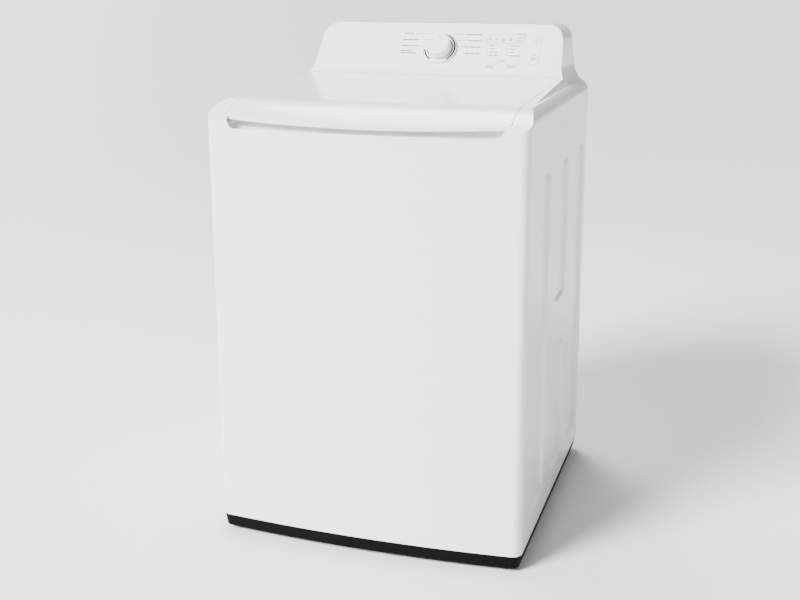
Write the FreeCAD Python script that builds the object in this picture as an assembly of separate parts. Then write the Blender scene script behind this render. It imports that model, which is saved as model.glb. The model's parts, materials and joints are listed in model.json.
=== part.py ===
import FreeCAD, Part
import math
import os

# Top load washing machine, standing on the floor. +X is its right side as its user
# sees it, -Y its front, +Z up. The origin is on the floor, under the middle of its box.
# All sizes are millimetres.

# ---- Driving sizes -------------------------------------------------------------------
WIDTH = 686.0
BODY_DEPTH = 707.6          # middle of the bowed front to the rear sheet
REAR_PROUD = 6.4            # hose spigots stand this far behind the rear sheet
FRONT_BOW = 17.6            # the front's middle stands this far ahead of its corners
CORNER_R = 22.0             # vertical front corners
REAR_CORNER_R = 5.0
FOOT_LIFT = 10.0            # floor to the underside of the base
BASE_H = 29.0
CABINET_H = 847.0           # painted wrap, from the base to the seam under the top cover

SHEET = 1.0                 # cabinet steel
SHELL = 3.0                 # top cover plastic
TUB_WALL = 3.5
FIT = 0.25                  # gap between fixed neighbours
RUN = 0.05                  # radial running clearance of a shaft or pin

DECK_RISE = 79.2            # seam to the deck's top, where the waterfall begins
DECK_SLOPE = 0.043          # the deck rises towards the console
WATERFALL_BACK = 122.6      # from the front face to the start of the waterfall
CONSOLE_RISE = 214.0        # seam to the console's top
PANEL_TILT = 35.0           # console front, from the vertical, in degrees
WATERFALL_R = 200.0         # curve of the deck and lid towards the front
LID_HALF_W = 302.0
LID_SETBACK = 17.0          # lid's front edge behind the front face
LID_EDGE_H = 13.0
LID_LIP_H = 7.0             # the lid is thinner along its front, over the finger scoop
LID_LIP_W = 16.0
LID_GAP = 1.6
LID_SKIN = 2.0
POCKET_DEPTH = 16.0         # lid pocket, below the deck's surface

TUB_Y = 0.0                 # the tub's axis, on X = 0
TUB_R = 285.0
TUB_FLOOR_GAP = 216.0       # base top to the tub's underside
TUB_HEADROOM = 86.0         # tub's rim below the seam
BASKET_R = 258.0
MOUTH_R = 236.0             # opening in the tub's cover
AGITATOR_R = 168.0
AGITATOR_H = 372.0
ROD_X = 262.0               # suspension rods, each side of the tub's axis
ROD_Y = 262.0

# ---- Places that follow from them ----------------------------------------------------
HALF_W = WIDTH / 2
FRONT_Y = -(BODY_DEPTH + REAR_PROUD) / 2
REAR_Y = FRONT_Y + BODY_DEPTH
BASE_TOP_Z = FOOT_LIFT + BASE_H
SEAM_Z = BASE_TOP_Z + CABINET_H
BOW_R = HALF_W ** 2 / (2 * FRONT_BOW) + FRONT_BOW / 2
CORNER_Y = FRONT_Y + FRONT_BOW
BIG = 4000.0

X_AXIS = FreeCAD.Vector(1, 0, 0)
Y_AXIS = FreeCAD.Vector(0, 1, 0)
Z_AXIS = FreeCAD.Vector(0, 0, 1)


# ---- Small shape helpers -------------------------------------------------------------
def vec(x, y, z):
    return FreeCAD.Vector(x, y, z)


def box(x0, x1, y0, y1, z0, z1):
    return Part.makeBox(x1 - x0, y1 - y0, z1 - z0, vec(x0, y0, z0))


def rod(x, y, z0, z1, r):
    return Part.makeCylinder(r, z1 - z0, vec(x, y, z0), Z_AXIS)


def rod_x(y, z, x0, x1, r):
    return Part.makeCylinder(r, x1 - x0, vec(x0, y, z), X_AXIS)


def rod_y(x, z, y0, y1, r):
    return Part.makeCylinder(r, y1 - y0, vec(x, y0, z), Y_AXIS)


def ring(x, y, z0, z1, r_out, r_in):
    return rod(x, y, z0, z1, r_out).cut(rod(x, y, z0 - 1, z1 + 1, r_in))


def face_of(points):
    """Planar face of a closed polygon."""
    return Part.Face(Part.makePolygon(points + points[:1]))


def path_face(edges):
    return Part.Face(Part.Wire(Part.__sortEdges__(edges)))


def fuse(shapes):
    whole = shapes[0]
    if len(shapes) > 1:
        whole = whole.multiFuse(shapes[1:]).removeSplitter()
    return whole


def cut_all(shape, tools):
    return shape.cut(Part.makeCompound(tools)) if tools else shape


def mirror_x(shape):
    return shape.mirror(vec(0, 0, 0), X_AXIS)


def rounded_rect(x0, x1, y0, y1, r):
    """Rounded rectangle as a face in the XY plane."""
    k = r * (1 - math.sqrt(0.5))
    corners = [
        ((x0 + r, y0), (x1 - r, y0), (x1 - k, y0 + k), (x1, y0 + r)),
        ((x1, y0 + r), (x1, y1 - r), (x1 - k, y1 - k), (x1 - r, y1)),
        ((x1 - r, y1), (x0 + r, y1), (x0 + k, y1 - k), (x0, y1 - r)),
        ((x0, y1 - r), (x0, y0 + r), (x0 + k, y0 + k), (x0 + r, y0)),
    ]
    edges = []
    for start, end, middle, after in corners:
        edges.append(Part.LineSegment(vec(*start, 0), vec(*end, 0)).toShape())
        edges.append(Part.Arc(vec(*end, 0), vec(*middle, 0), vec(*after, 0)).toShape())
    return path_face(edges)


def revolve(profile, x=0.0, y=0.0):
    """Solid of (radius, z) points turned about the vertical line through x, y."""
    face = face_of([vec(x + r, y, z) for r, z in profile])
    return face.revolve(vec(x, y, 0), Z_AXIS, 360)


def save(name, *shapes):
    """Writes every solid of these shapes to the node's file."""
    solids = []
    for shape in shapes:
        solids.extend(shape.Solids)
    for solid in solids:
        if not solid.isValid() or solid.Volume <= 0:
            raise ValueError("bad solid in " + name)
    whole = solids[0] if len(solids) == 1 else Part.makeCompound(solids)
    whole.exportStep("parts/" + name + ".step")


# ---- Plan outline of the machine -----------------------------------------------------
def plan_face(inset=0.0):
    """The plan outline, bowed in front, with everything moved in by inset."""
    half = HALF_W - inset
    bow_r = BOW_R - inset
    bow_centre = FRONT_Y + BOW_R
    rear = REAR_Y - inset
    r = max(CORNER_R - inset, 1.0)
    rr = max(REAR_CORNER_R - inset, 1.0)
    # the corner arc touches the bow from inside and the side
    cx = half - r
    cy = bow_centre - math.sqrt((bow_r - r) ** 2 - cx ** 2)
    tx = cx * bow_r / (bow_r - r)
    ty = bow_centre - (bow_centre - cy) * bow_r / (bow_r - r)
    middle = math.radians(-90 + 0.5 * (90 + math.degrees(math.asin(cx / (bow_r - r)))))
    mx = cx + r * math.cos(middle)
    my = cy + r * math.sin(middle)
    k = rr * (1 - math.sqrt(0.5))
    edges = [
        Part.Arc(vec(-tx, ty, 0), vec(0, bow_centre - bow_r, 0), vec(tx, ty, 0)).toShape(),
        Part.LineSegment(vec(half - rr, rear, 0), vec(-half + rr, rear, 0)).toShape(),
    ]
    for side in (1, -1):
        edges += [
            Part.Arc(vec(side * tx, ty, 0), vec(side * mx, my, 0), vec(side * half, cy, 0)).toShape(),
            Part.LineSegment(vec(side * half, cy, 0), vec(side * half, rear - rr, 0)).toShape(),
            Part.Arc(
                vec(side * half, rear - rr, 0),
                vec(side * (half - k), rear - k, 0),
                vec(side * (half - rr), rear, 0),
            ).toShape(),
        ]
    return path_face(edges)


def plan_prism(inset, z0, z1):
    face = plan_face(inset)
    face.translate(vec(0, 0, z0))
    return face.extrude(vec(0, 0, z1 - z0))


# ---- Base and feet -------------------------------------------------------------------
BASE_WALL = 3.0
WEB_LIFT = 4.0               # the base's webs end this far above its foot
BASE_RIM = 62.0             # width of the base's hollow rim
BASE_DRAFT = 5.0            # the base is this much smaller all round at its underside
BASE_INSET = 1.0
FOOT_INSET = 35.0
FOOT_PAD_R = 17.0
FOOT_HEX_R = 8.5
HEX_TURNS = [math.radians(a) for a in range(0, 360, 60)]
FOOT_PAD_H = 7.0
FOOT_STUD_R = 5.0
FOOT_TRAVEL = 8.0
FOOT_BOSS_R = 13.0
RAIL_W = 70.0

FOOT_X = HALF_W - FOOT_INSET
FOOT_FRONT_Y = CORNER_Y + FOOT_INSET
FOOT_REAR_Y = REAR_Y - FOOT_INSET
FOOT_PLACES = {
    "front_left": (-FOOT_X, FOOT_FRONT_Y),
    "front_right": (FOOT_X, FOOT_FRONT_Y),
    "rear_left": (-FOOT_X, FOOT_REAR_Y),
    "rear_right": (FOOT_X, FOOT_REAR_Y),
}
FOOT_BOSS_Z = FOOT_PAD_H + FOOT_TRAVEL + 3.0


def base_blank(inset, z0, z1):
    """The base's outside with its draft, moved in by inset, between two heights."""
    wires = []
    for z in (FOOT_LIFT - 1, BASE_TOP_Z + 1):
        lean = BASE_DRAFT * (BASE_TOP_Z - z) / BASE_H
        wire = plan_face(BASE_INSET + inset + lean).OuterWire
        wire.translate(vec(0, 0, z))
        wires.append(wire)
    blank = Part.makeLoft(wires, True, True)
    return blank.common(box(-BIG, BIG, -BIG, BIG, z0, z1))


def base_frame(pump_x, pump_y):
    rim_x = HALF_W - BASE_RIM
    rim_front = CORNER_Y + BASE_RIM
    rim_rear = REAR_Y - BASE_RIM
    ceiling = BASE_TOP_Z - BASE_WALL
    body = base_blank(0, FOOT_LIFT, BASE_TOP_Z)
    body = body.cut(box(-rim_x, rim_x, rim_front, rim_rear, 0, BASE_TOP_Z + 1))
    hollow = base_blank(BASE_WALL, FOOT_LIFT - 1, ceiling)
    wall = BASE_WALL
    hollow = hollow.cut(box(-rim_x - wall, rim_x + wall, rim_front - wall, rim_rear + wall, 0, BASE_TOP_Z))
    body = body.cut(hollow)
    adds = []
    for x, y in FOOT_PLACES.values():
        adds.append(rod(x, y, FOOT_BOSS_Z, ceiling + 1, FOOT_BOSS_R))
    # webs stiffen the hollow rim between the feet
    webs = []
    for side in (-1, 1):
        for y in (-150.0, 0.0, 150.0):
            x0, x1 = sorted((side * rim_x, side * (HALF_W - 2 * BASE_WALL)))
            webs.append(box(x0, x1, y - wall / 2, y + wall / 2, FOOT_LIFT + 4, ceiling + 1))
    for x in (-150.0, 0.0, 150.0):
        for y0, y1 in ((CORNER_Y + 2 * BASE_WALL, rim_front), (rim_rear, REAR_Y - 4 * BASE_WALL)):
            webs.append(box(x - wall / 2, x + wall / 2, y0, y1, FOOT_LIFT + WEB_LIFT, ceiling + 1))
    # the pump stands on a rail across the rear
    rail = box(-rim_x - 1, rim_x + 1, pump_y - RAIL_W / 2, pump_y + RAIL_W / 2, ceiling, BASE_TOP_Z)
    rail_webs = [
        box(-rim_x - 1, rim_x + 1, pump_y + s * (RAIL_W / 2 - wall / 2) - wall / 2,
            pump_y + s * (RAIL_W / 2 - wall / 2) + wall / 2, FOOT_LIFT + 8, ceiling + 1)
        for s in (-1, 1)
    ]
    body = fuse([body] + adds + webs + [rail] + rail_webs)
    holes = [rod(x, y, 0, BASE_TOP_Z + 1, FOOT_STUD_R + RUN) for x, y in FOOT_PLACES.values()]
    save("base_frame", cut_all(body, holes))


def feet():
    for name, (x, y) in FOOT_PLACES.items():
        pad = rod(x, y, 0, FOOT_PAD_H, FOOT_PAD_R)
        rims = [e for e in pad.Edges if e.BoundBox.ZLength < 0.01 and len(e.Vertexes) == 1]
        pad = pad.makeFillet(2.0, rims)
        stud = rod(x, y, FOOT_PAD_H - 1, BASE_TOP_Z + 8, FOOT_STUD_R)
        collar = face_of([
            vec(x + FOOT_HEX_R * math.cos(turn), y + FOOT_HEX_R * math.sin(turn), FOOT_PAD_H - 1)
            for turn in HEX_TURNS
        ]).extrude(vec(0, 0, 3.0))
        save("foot_" + name, fuse([pad, stud, collar]))


# ---- Cabinet wrap with its embossed sides ---------------------------------------------
FLANGE = 20.0
CHANNEL_W = 127.0
CHANNEL_DEPTH = 6.0
CHANNEL_WALL = 9.0          # width of a channel's sloped wall, seen square on
CHANNEL_R = 26.0
CHANNEL_TOP = 66.0          # channel ends, from the wrap's top and foot
CHANNEL_FOOT = 48.0
CHANNEL_WAIST = 105.0       # plain band between the two middle channels
CHANNEL_FIRST_Y = 99.0      # from the front corner to the first channel
CHANNEL_PITCH = (BODY_DEPTH - FRONT_BOW - CHANNEL_FIRST_Y - CHANNEL_W - 36.0) / 2


def pan(a0, a1, b0, b1, depth, wall_w, r, sheet):
    """A pressed recess about the XY plane, going down: its sheet, and the blank that it replaces."""
    grow = sheet * math.hypot(wall_w, depth) / depth

    def block(extra, top, bottom):
        wires = []
        for z in (top, bottom):
            shrink = -z / depth * wall_w - extra
            radius = max(r - max(-z / depth, 0) * wall_w * 0.55 + extra * 0.5, 2.0)
            wire = rounded_rect(a0 + shrink, a1 - shrink, b0 + shrink, b1 - shrink, radius).OuterWire
            wire.translate(vec(0, 0, z))
            wires.append(wire)
        return Part.makeLoft(wires, True, True)

    blank = block(grow, 0.0, -depth - sheet)
    inside = block(0.0, 0.0, -depth)
    return blank.cut(inside), blank


def turned_to_side(shape, side):
    """Carries a shape from the XY plane, facing +Z, to the machine's side, facing out."""
    moved = shape.copy()
    # local x runs along Y, local y up, local z out
    moved.transformShape(FreeCAD.Matrix(0, 0, 1, HALF_W, 1, 0, 0, 0, 0, 1, 0, 0, 0, 0, 0, 1))
    return mirror_x(moved) if side < 0 else moved


def channel_places():
    z_top = SEAM_Z - CHANNEL_TOP
    z_foot = BASE_TOP_Z + CHANNEL_FOOT
    z_mid = (z_top + z_foot) / 2 - 8.0
    half = CHANNEL_WAIST / 2
    first = CORNER_Y + CHANNEL_FIRST_Y
    places = []
    for n, spans in enumerate((
        [(z_foot, z_top)],
        [(z_foot, z_mid - half), (z_mid + half, z_top)],
        [(z_foot, z_top)],
    )):
        y0 = first + n * CHANNEL_PITCH
        places += [(y0, y0 + CHANNEL_W, z0, z1) for z0, z1 in spans]
    return places


def cabinet_wrap(screw_places):
    outer = plan_prism(0, BASE_TOP_Z, SEAM_Z)
    inner = plan_prism(SHEET, BASE_TOP_Z - 1, SEAM_Z + 1)
    body = outer.cut(inner)
    open_x = HALF_W - FLANGE
    body = body.cut(box(-open_x, open_x, REAR_Y - 2 * SHEET, REAR_Y + 1, 0, BIG))
    flanges = []
    for z in (BASE_TOP_Z, SEAM_Z - SHEET):
        flange = plan_prism(SHEET / 2, z, z + SHEET).cut(plan_prism(FLANGE, z - 1, z + 2))
        flanges.append(flange.cut(box(-open_x, open_x, 0, BIG, 0, BIG)))
    body = fuse([body] + flanges)
    pans, blanks = [], []
    for y0, y1, z0, z1 in channel_places():
        sheet_pan, blank = pan(y0, y1, z0, z1, CHANNEL_DEPTH, CHANNEL_WALL, CHANNEL_R, SHEET)
        for side in (-1, 1):
            pans.append(turned_to_side(sheet_pan, side))
            blanks.append(turned_to_side(blank, side))
    body = fuse([cut_all(body, blanks)] + pans)
    holes = [rod_y(x, z, REAR_Y - 5, REAR_Y + 1, SCREW_R + FIT) for x, z in screw_places]
    save("cabinet_wrap", cut_all(body, holes))


# ---- Rear panel, service cover and screws ---------------------------------------------
SCREW_R = 2.0
SCREW_HEAD_R = 4.2
SCREW_HEAD_H = 2.6
COVER_X = 150.0
COVER_Z0 = 60.0             # above the base
COVER_H = 260.0
REAR_COVER_T = 1.2
COVER_LAP = 18.0             # the service cover laps its opening by this
DRAIN_R = 13.0
NUT_ROOM = 2.0              # the rear sheets clear each spigot by this, for its nut
THREAD_RELIEF = 0.5         # plain neck between a spigot's flange and its thread
GLAND_R = 9.0
DRAIN_X = 286.0
DRAIN_Z = SEAM_Z - 92.0
GLAND_X = 190.0
GLAND_Z = SEAM_Z - 60.0


def rear_screw_places():
    x = HALF_W - FLANGE / 2 - 1.0
    places = []
    for z in (BASE_TOP_Z + 30, BASE_TOP_Z + CABINET_H * 0.36, BASE_TOP_Z + CABINET_H * 0.68, SEAM_Z - 30):
        places += [(-x, z), (x, z)]
    return places


def cover_screw_places():
    z0 = BASE_TOP_Z + COVER_Z0
    return [(s * (COVER_X - 8), z) for s in (-1, 1) for z in (z0 + 8, z0 + COVER_H - 8)]


def rear_panel():
    half = HALF_W - 3.0
    z0, z1 = BASE_TOP_Z + 1.0, SEAM_Z - 1.0
    face = rounded_rect(-half, half, z0, z1, 4.0)
    sheet = upright(face.extrude(vec(0, 0, SHEET)), REAR_Y)
    pans, blanks = [], []
    rib_foot = BASE_TOP_Z + COVER_Z0 + COVER_H + 50.0
    for x0, x1 in ((-HALF_W + 90, -30.0), (30.0, HALF_W - 140)):
        p, b = pan(x0, x1, rib_foot, SEAM_Z - 130, 5.0, 7.0, 22.0, SHEET)
        pans.append(upright(p, REAR_Y + SHEET))
        blanks.append(upright(b, REAR_Y + SHEET))
    body = fuse([cut_all(sheet, blanks)] + pans)
    cover_z = BASE_TOP_Z + COVER_Z0
    window_x = COVER_X - COVER_LAP
    window_z0, window_z1 = cover_z + COVER_LAP, cover_z + COVER_H - COVER_LAP
    body = body.cut(box(-window_x, window_x, REAR_Y - 1, REAR_Y + 3, window_z0, window_z1))
    places = [(x, z, SCREW_R + FIT) for x, z in rear_screw_places() + cover_screw_places()]
    places += [(DRAIN_X, DRAIN_Z, DRAIN_R + NUT_ROOM), (GLAND_X, GLAND_Z, GLAND_R + FIT)]
    holes = [rod_y(x, z, REAR_Y - 1, REAR_Y + 3, r) for x, z, r in places]
    save("rear_panel", cut_all(body, holes))


def upright(shape, y):
    """Carries a shape from the XY plane, facing +Z, to a plane facing the rear at y."""
    moved = shape.copy()
    # local x runs along X, local y up, local z back
    moved.transformShape(FreeCAD.Matrix(1, 0, 0, 0, 0, 0, 1, y, 0, 1, 0, 0, 0, 0, 0, 1))
    return moved


def service_cover():
    z0 = BASE_TOP_Z + COVER_Z0
    plate = box(-COVER_X, COVER_X, REAR_Y + SHEET, REAR_Y + 2 * SHEET, z0, z0 + COVER_H)
    slots = []
    for n in range(6):
        z = z0 + 60 + n * 26
        slots.append(box(-90, 90, REAR_Y, REAR_Y + 4, z, z + 6))
    holes = [rod_y(x, z, REAR_Y, REAR_Y + 4, SCREW_R + FIT) for x, z in cover_screw_places()]
    save("rear_service_cover", cut_all(plate, slots + holes))


def panel_screws():
    screws = []
    for places, y in ((rear_screw_places(), REAR_Y + SHEET), (cover_screw_places(), REAR_Y + 2 * SHEET)):
        for x, z in places:
            head = face_of([
                vec(x + SCREW_HEAD_R * math.cos(turn), y, z + SCREW_HEAD_R * math.sin(turn))
                for turn in HEX_TURNS
            ]).extrude(vec(0, SCREW_HEAD_H, 0))
            screws.append(fuse([head, rod_y(x, z, y - 7.0, y + 0.5, SCREW_R)]))
    for x, z in console_screw_places():
        screws.append(fuse([
            rod_y(x, z, REAR_Y + REAR_COVER_T, REAR_Y + REAR_COVER_T + 1.9, SCREW_HEAD_R - 0.4),
            rod_y(x, z, REAR_Y - 2.5, REAR_Y + REAR_COVER_T + 0.1, SCREW_R),
        ]))
    save("panel_screws", *screws)


def cord_gland():
    """Strain relief where the mains lead leaves, with a clear bore."""
    gland = fuse([
        rod_y(GLAND_X, GLAND_Z, REAR_Y - 8, REAR_Y + REAR_PROUD, GLAND_R),
        rod_y(GLAND_X, GLAND_Z, REAR_Y + SHEET, REAR_Y + SHEET + 3, GLAND_R + 4),
        rod_y(GLAND_X, GLAND_Z, REAR_Y - 8, REAR_Y - 1, GLAND_R + 3),
    ])
    save("cord_gland", gland.cut(rod_y(GLAND_X, GLAND_Z, REAR_Y - 20, REAR_Y + 30, 4.5)))


# ---- Outside of the top cover --------------------------------------------------------
SHOULDER_H = 50.0           # seam to the start of the shoulder curve
SHOULDER_IN = 20.0
SHOULDER_UP = 31.0
FLARE_IN = 39.0             # console side, at the end of the flare, in from the side
FLARE_UP = 131.0            # above the seam
CONSOLE_LEAN = 9.0          # the console's side leans in by this up to its top corner
CONSOLE_R = 38.0
PANEL_FOOT_Y = 166.4        # the console's front meets the deck here
TOP_EDGE_R = 8.0

TILT = math.radians(PANEL_TILT)
LINE_Y = FRONT_Y + WATERFALL_BACK
LINE_Z = SEAM_Z + DECK_RISE
SLOPE_ANGLE = math.atan(DECK_SLOPE)
FALL_Y = LINE_Y + WATERFALL_R * math.sin(SLOPE_ANGLE)
FALL_Z = LINE_Z - WATERFALL_R * math.cos(SLOPE_ANGLE)
TOP_Z = SEAM_Z + CONSOLE_RISE


def deck_z(y, down=0.0):
    """Height of the deck's surface, moved down square to itself."""
    radius = WATERFALL_R - down
    start = FALL_Y - radius * math.sin(SLOPE_ANGLE)
    if y >= start:
        return FALL_Z + radius * math.cos(SLOPE_ANGLE) + (y - start) * DECK_SLOPE
    return FALL_Z + math.sqrt(max(radius ** 2 - (y - FALL_Y) ** 2, 0.0))


def deck_edges(down, y0, y1):
    """The deck's profile in the YZ plane from y0 to y1."""
    start = FALL_Y - (WATERFALL_R - down) * math.sin(SLOPE_ANGLE)
    line_from = max(y0, start)
    near, far = vec(0, line_from, deck_z(line_from, down)), vec(0, y1, deck_z(y1, down))
    edges = [Part.LineSegment(near, far).toShape()]
    if y0 < start:
        middle = (y0 + start) / 2
        edges.append(Part.Arc(
            vec(0, y0, deck_z(y0, down)),
            vec(0, middle, deck_z(middle, down)),
            vec(0, start, deck_z(start, down)),
        ).toShape())
    return edges


def deck_band(top, bottom, half_x, y0, y1):
    """Slab that follows the deck between two depths under its surface."""
    edges = deck_edges(top, y0, y1) + deck_edges(bottom, y0, y1)
    for y in (y0, y1):
        edges.append(Part.LineSegment(vec(0, y, deck_z(y, top)), vec(0, y, deck_z(y, bottom))).toShape())
    face = path_face(edges)
    face.translate(vec(-half_x, 0, 0))
    return face.extrude(vec(2 * half_x, 0, 0))


def under_deck(down, half_x, y0, y1, z0):
    """Everything between z0 and the deck's surface moved down."""
    edges = deck_edges(down, y0, y1)
    edges.append(Part.LineSegment(vec(0, y0, deck_z(y0, down)), vec(0, y0, z0)).toShape())
    edges.append(Part.LineSegment(vec(0, y0, z0), vec(0, y1, z0)).toShape())
    edges.append(Part.LineSegment(vec(0, y1, z0), vec(0, y1, deck_z(y1, down))).toShape())
    face = path_face(edges)
    face.translate(vec(-half_x, 0, 0))
    return face.extrude(vec(2 * half_x, 0, 0))


def panel_frame(x, v, out=0.0):
    """Point on the console's front: x across, v up the slope from its foot, out from it."""
    foot_z = deck_z(PANEL_FOOT_Y)
    y = PANEL_FOOT_Y + v * math.sin(TILT) - out * math.cos(TILT)
    z = foot_z + v * math.cos(TILT) + out * math.sin(TILT)
    return vec(x, y, z)


PANEL_TOP_V = (TOP_Z - deck_z(PANEL_FOOT_Y)) / math.cos(TILT)


def side_profile(inset):
    """Deck, console front and console top, as a solid across the whole width."""
    y0 = FRONT_Y - 2
    y1 = REAR_Y + 2
    top = TOP_Z - inset
    # the panel plane, moved in
    near = panel_frame(0, 0, -inset)
    deck_at = near.y
    for _ in range(8):
        deck_at = near.y + (deck_z(deck_at, inset) - near.z) * math.tan(TILT)
    panel_top_y = near.y + (top - near.z) * math.tan(TILT)
    edges = deck_edges(inset, y0, deck_at)
    # the console's top edge is rounded
    r = TOP_EDGE_R - inset / 2
    reach = r * math.tan((math.pi / 2 - TILT) / 2)
    start = vec(0, panel_top_y - reach * math.sin(TILT), top - reach * math.cos(TILT))
    end = vec(0, panel_top_y + reach, top)
    centre = vec(0, end.y, top - r)
    half_turn = (TILT + math.pi / 2) / 2
    middle = vec(0, centre.y - r * math.cos(half_turn), centre.z + r * math.sin(half_turn))
    edges.append(Part.Arc(start, middle, end).toShape())
    edges.append(Part.LineSegment(vec(0, deck_at, deck_z(deck_at, inset)), start).toShape())
    corners = [
        end,
        vec(0, y1, top),
        vec(0, y1, SEAM_Z - 2),
        vec(0, y0, SEAM_Z - 2),
        vec(0, y0, deck_z(y0, inset)),
    ]
    for a, b in zip(corners, corners[1:]):
        edges.append(Part.LineSegment(a, b).toShape())
    face = path_face(edges)
    face.translate(vec(-BIG / 4, 0, 0))
    return face.extrude(vec(BIG / 2, 0, 0))


def front_profile(inset):
    """Shoulders, flare and console sides, as a solid along the whole depth."""
    half = HALF_W - inset
    z_a = SEAM_Z + SHOULDER_H
    z_b = z_a + SHOULDER_UP - inset * 0.9
    x_b = HALF_W - SHOULDER_IN - inset * 0.4
    z_c = SEAM_Z + FLARE_UP
    x_c = HALF_W - FLARE_IN - inset
    top = TOP_Z - inset
    r = CONSOLE_R - inset
    lean = CONSOLE_LEAN / (CONSOLE_RISE - FLARE_UP)
    x_d = x_c - lean * (top - r - z_c)
    r_shoulder = (SHOULDER_IN ** 2 + SHOULDER_UP ** 2) / (2 * SHOULDER_IN) - inset
    cx = half - r_shoulder
    turn = math.radians(32)
    mid_ab = (cx + r_shoulder * math.cos(turn), z_a + r_shoulder * math.sin(turn))
    mid_bc = ((x_b + x_c) / 2 - 4.2, (z_b + z_c) / 2 - 3.5)
    k = r * (1 - math.sqrt(0.5))
    edges = [
        Part.LineSegment(vec(-half, 0, SEAM_Z - 2), vec(half, 0, SEAM_Z - 2)).toShape(),
        Part.LineSegment(vec(x_d - r, 0, top), vec(-x_d + r, 0, top)).toShape(),
    ]
    for s in (1, -1):
        edges += [
            Part.LineSegment(vec(s * half, 0, SEAM_Z - 2), vec(s * half, 0, z_a)).toShape(),
            Part.Arc(vec(s * half, 0, z_a), vec(s * mid_ab[0], 0, mid_ab[1]), vec(s * x_b, 0, z_b)).toShape(),
            Part.Arc(vec(s * x_b, 0, z_b), vec(s * mid_bc[0], 0, mid_bc[1]), vec(s * x_c, 0, z_c)).toShape(),
            Part.LineSegment(vec(s * x_c, 0, z_c), vec(s * x_d, 0, top - r)).toShape(),
            Part.Arc(
                vec(s * x_d, 0, top - r), vec(s * (x_d - k), 0, top - k), vec(s * (x_d - r), 0, top),
            ).toShape(),
        ]
    face = path_face(edges)
    face.translate(vec(0, -BIG / 4, 0))
    return face.extrude(vec(0, BIG / 2, 0))


def cover_blank(inset, z0):
    blank = side_profile(inset).common(front_profile(inset))
    return blank.common(plan_prism(inset, z0, TOP_Z + 1)).removeSplitter()


# ---- Lid, its pocket and hinge --------------------------------------------------------
LID_REAR_Y = PANEL_FOOT_Y - 1.4
HINGE_BACK = 12.0           # hinge axis, ahead of the lid's rear edge
HINGE_DOWN = 9.0            # and below the lid's surface
PIN_R = 4.0
KNUCKLE_R = 8.0
HINGE_SWING_R = math.hypot(HINGE_BACK, HINGE_DOWN) + 2.0
HINGE_Y = LID_REAR_Y - HINGE_BACK
HINGE_Z = deck_z(HINGE_Y) - HINGE_DOWN
LID_SIDE_R = 7.0            # plan corner radius
POCKET_HALF = LID_HALF_W + LID_GAP

DISH_X = 272.0
DISH_REAR_Y = LID_REAR_Y - 6.5
DISH_FRONT_Y = LINE_Y + 2.0
DISH_DEPTH = 8.0
DISH_SIDE_W = 44.0
DISH_REAR_W = 65.0
DISH_FRONT_W = 24.0

SCOOP_R = 24.0
SCOOP_BACK = 18.7
SCOOP_UP = 42.0
SCOOP_HALF = 297.0
MOUTH_HALF_X = 215.0
MOUTH_FRONT_Y = -245.0
MOUTH_REAR_Y = 120.0
MOUTH_CORNER = 105.0
SKIRT_DROP = 20.0

LOCK_X = 262.0
LOCK_Y = -120.0
STRIKE_W = 5.0
STRIKE_D = 20.0
STRIKE_H = 24.0
STRIKE_FOOT_H = 1.6
STRIKE_FOOT_OUT = 1.5       # the foot is this much wider than the blade, each side
BOLT_R = 3.0
EYE_ROOM = 1.5              # the strike's window clears the bolt by this all round
LINER_RIB_X = 150.0
LINER_RIB_H = 1.4
BUMPER_R = 7.0
BUMPER_X = 250.0
BUMPER_Y = -285.0


def scoop_solid(extra):
    """Round channel along the bowed front, with ball ends, grown by extra."""
    r = SCOOP_R + extra
    z = SEAM_Z + SCOOP_UP
    bow_centre = vec(0, FRONT_Y + BOW_R, z)
    path_r = BOW_R - SCOOP_BACK
    end_x = SCOOP_HALF - SCOOP_R
    angle = math.degrees(math.asin(end_x / path_r))
    face = Part.Face(Part.Wire(Part.Circle(bow_centre - Y_AXIS * path_r, X_AXIS, r).toShape()))
    face.rotate(bow_centre, Z_AXIS, -angle)
    channel = face.revolve(bow_centre, Z_AXIS, 2 * angle)
    end_y = bow_centre.y - math.sqrt(path_r ** 2 - end_x ** 2)
    ends = [Part.makeSphere(r, vec(s * end_x, end_y, z)) for s in (-1, 1)]
    return fuse([channel] + ends)


def lid_plan(inset, front_inset=None):
    """Plan outline of the lid as a tall prism, its front edge bowed like the cabinet."""
    bow_r = BOW_R - LID_SETBACK - (inset if front_inset is None else front_inset)
    bow_centre = FRONT_Y + BOW_R
    half = LID_HALF_W - inset
    r = LID_SIDE_R
    rear = LID_REAR_Y - inset
    cx = half - r
    cy = bow_centre - math.sqrt((bow_r - r) ** 2 - cx ** 2)
    tx = cx * bow_r / (bow_r - r)
    ty = bow_centre - (bow_centre - cy) * bow_r / (bow_r - r)
    turn = math.radians(-45)
    edges = [
        Part.Arc(vec(-tx, ty, 0), vec(0, bow_centre - bow_r, 0), vec(tx, ty, 0)).toShape(),
        Part.LineSegment(vec(-half, rear, 0), vec(half, rear, 0)).toShape(),
    ]
    for s in (1, -1):
        edges.append(Part.LineSegment(vec(s * half, cy, 0), vec(s * half, rear, 0)).toShape())
        edges.append(Part.Arc(
            vec(s * tx, ty, 0),
            vec(s * (cx + r * math.cos(turn)), cy + r * math.sin(turn), 0),
            vec(s * half, cy, 0),
        ).toShape())
    face = path_face(edges)
    face.translate(vec(0, 0, SEAM_Z))
    return face.extrude(vec(0, 0, CONSOLE_RISE))


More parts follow.
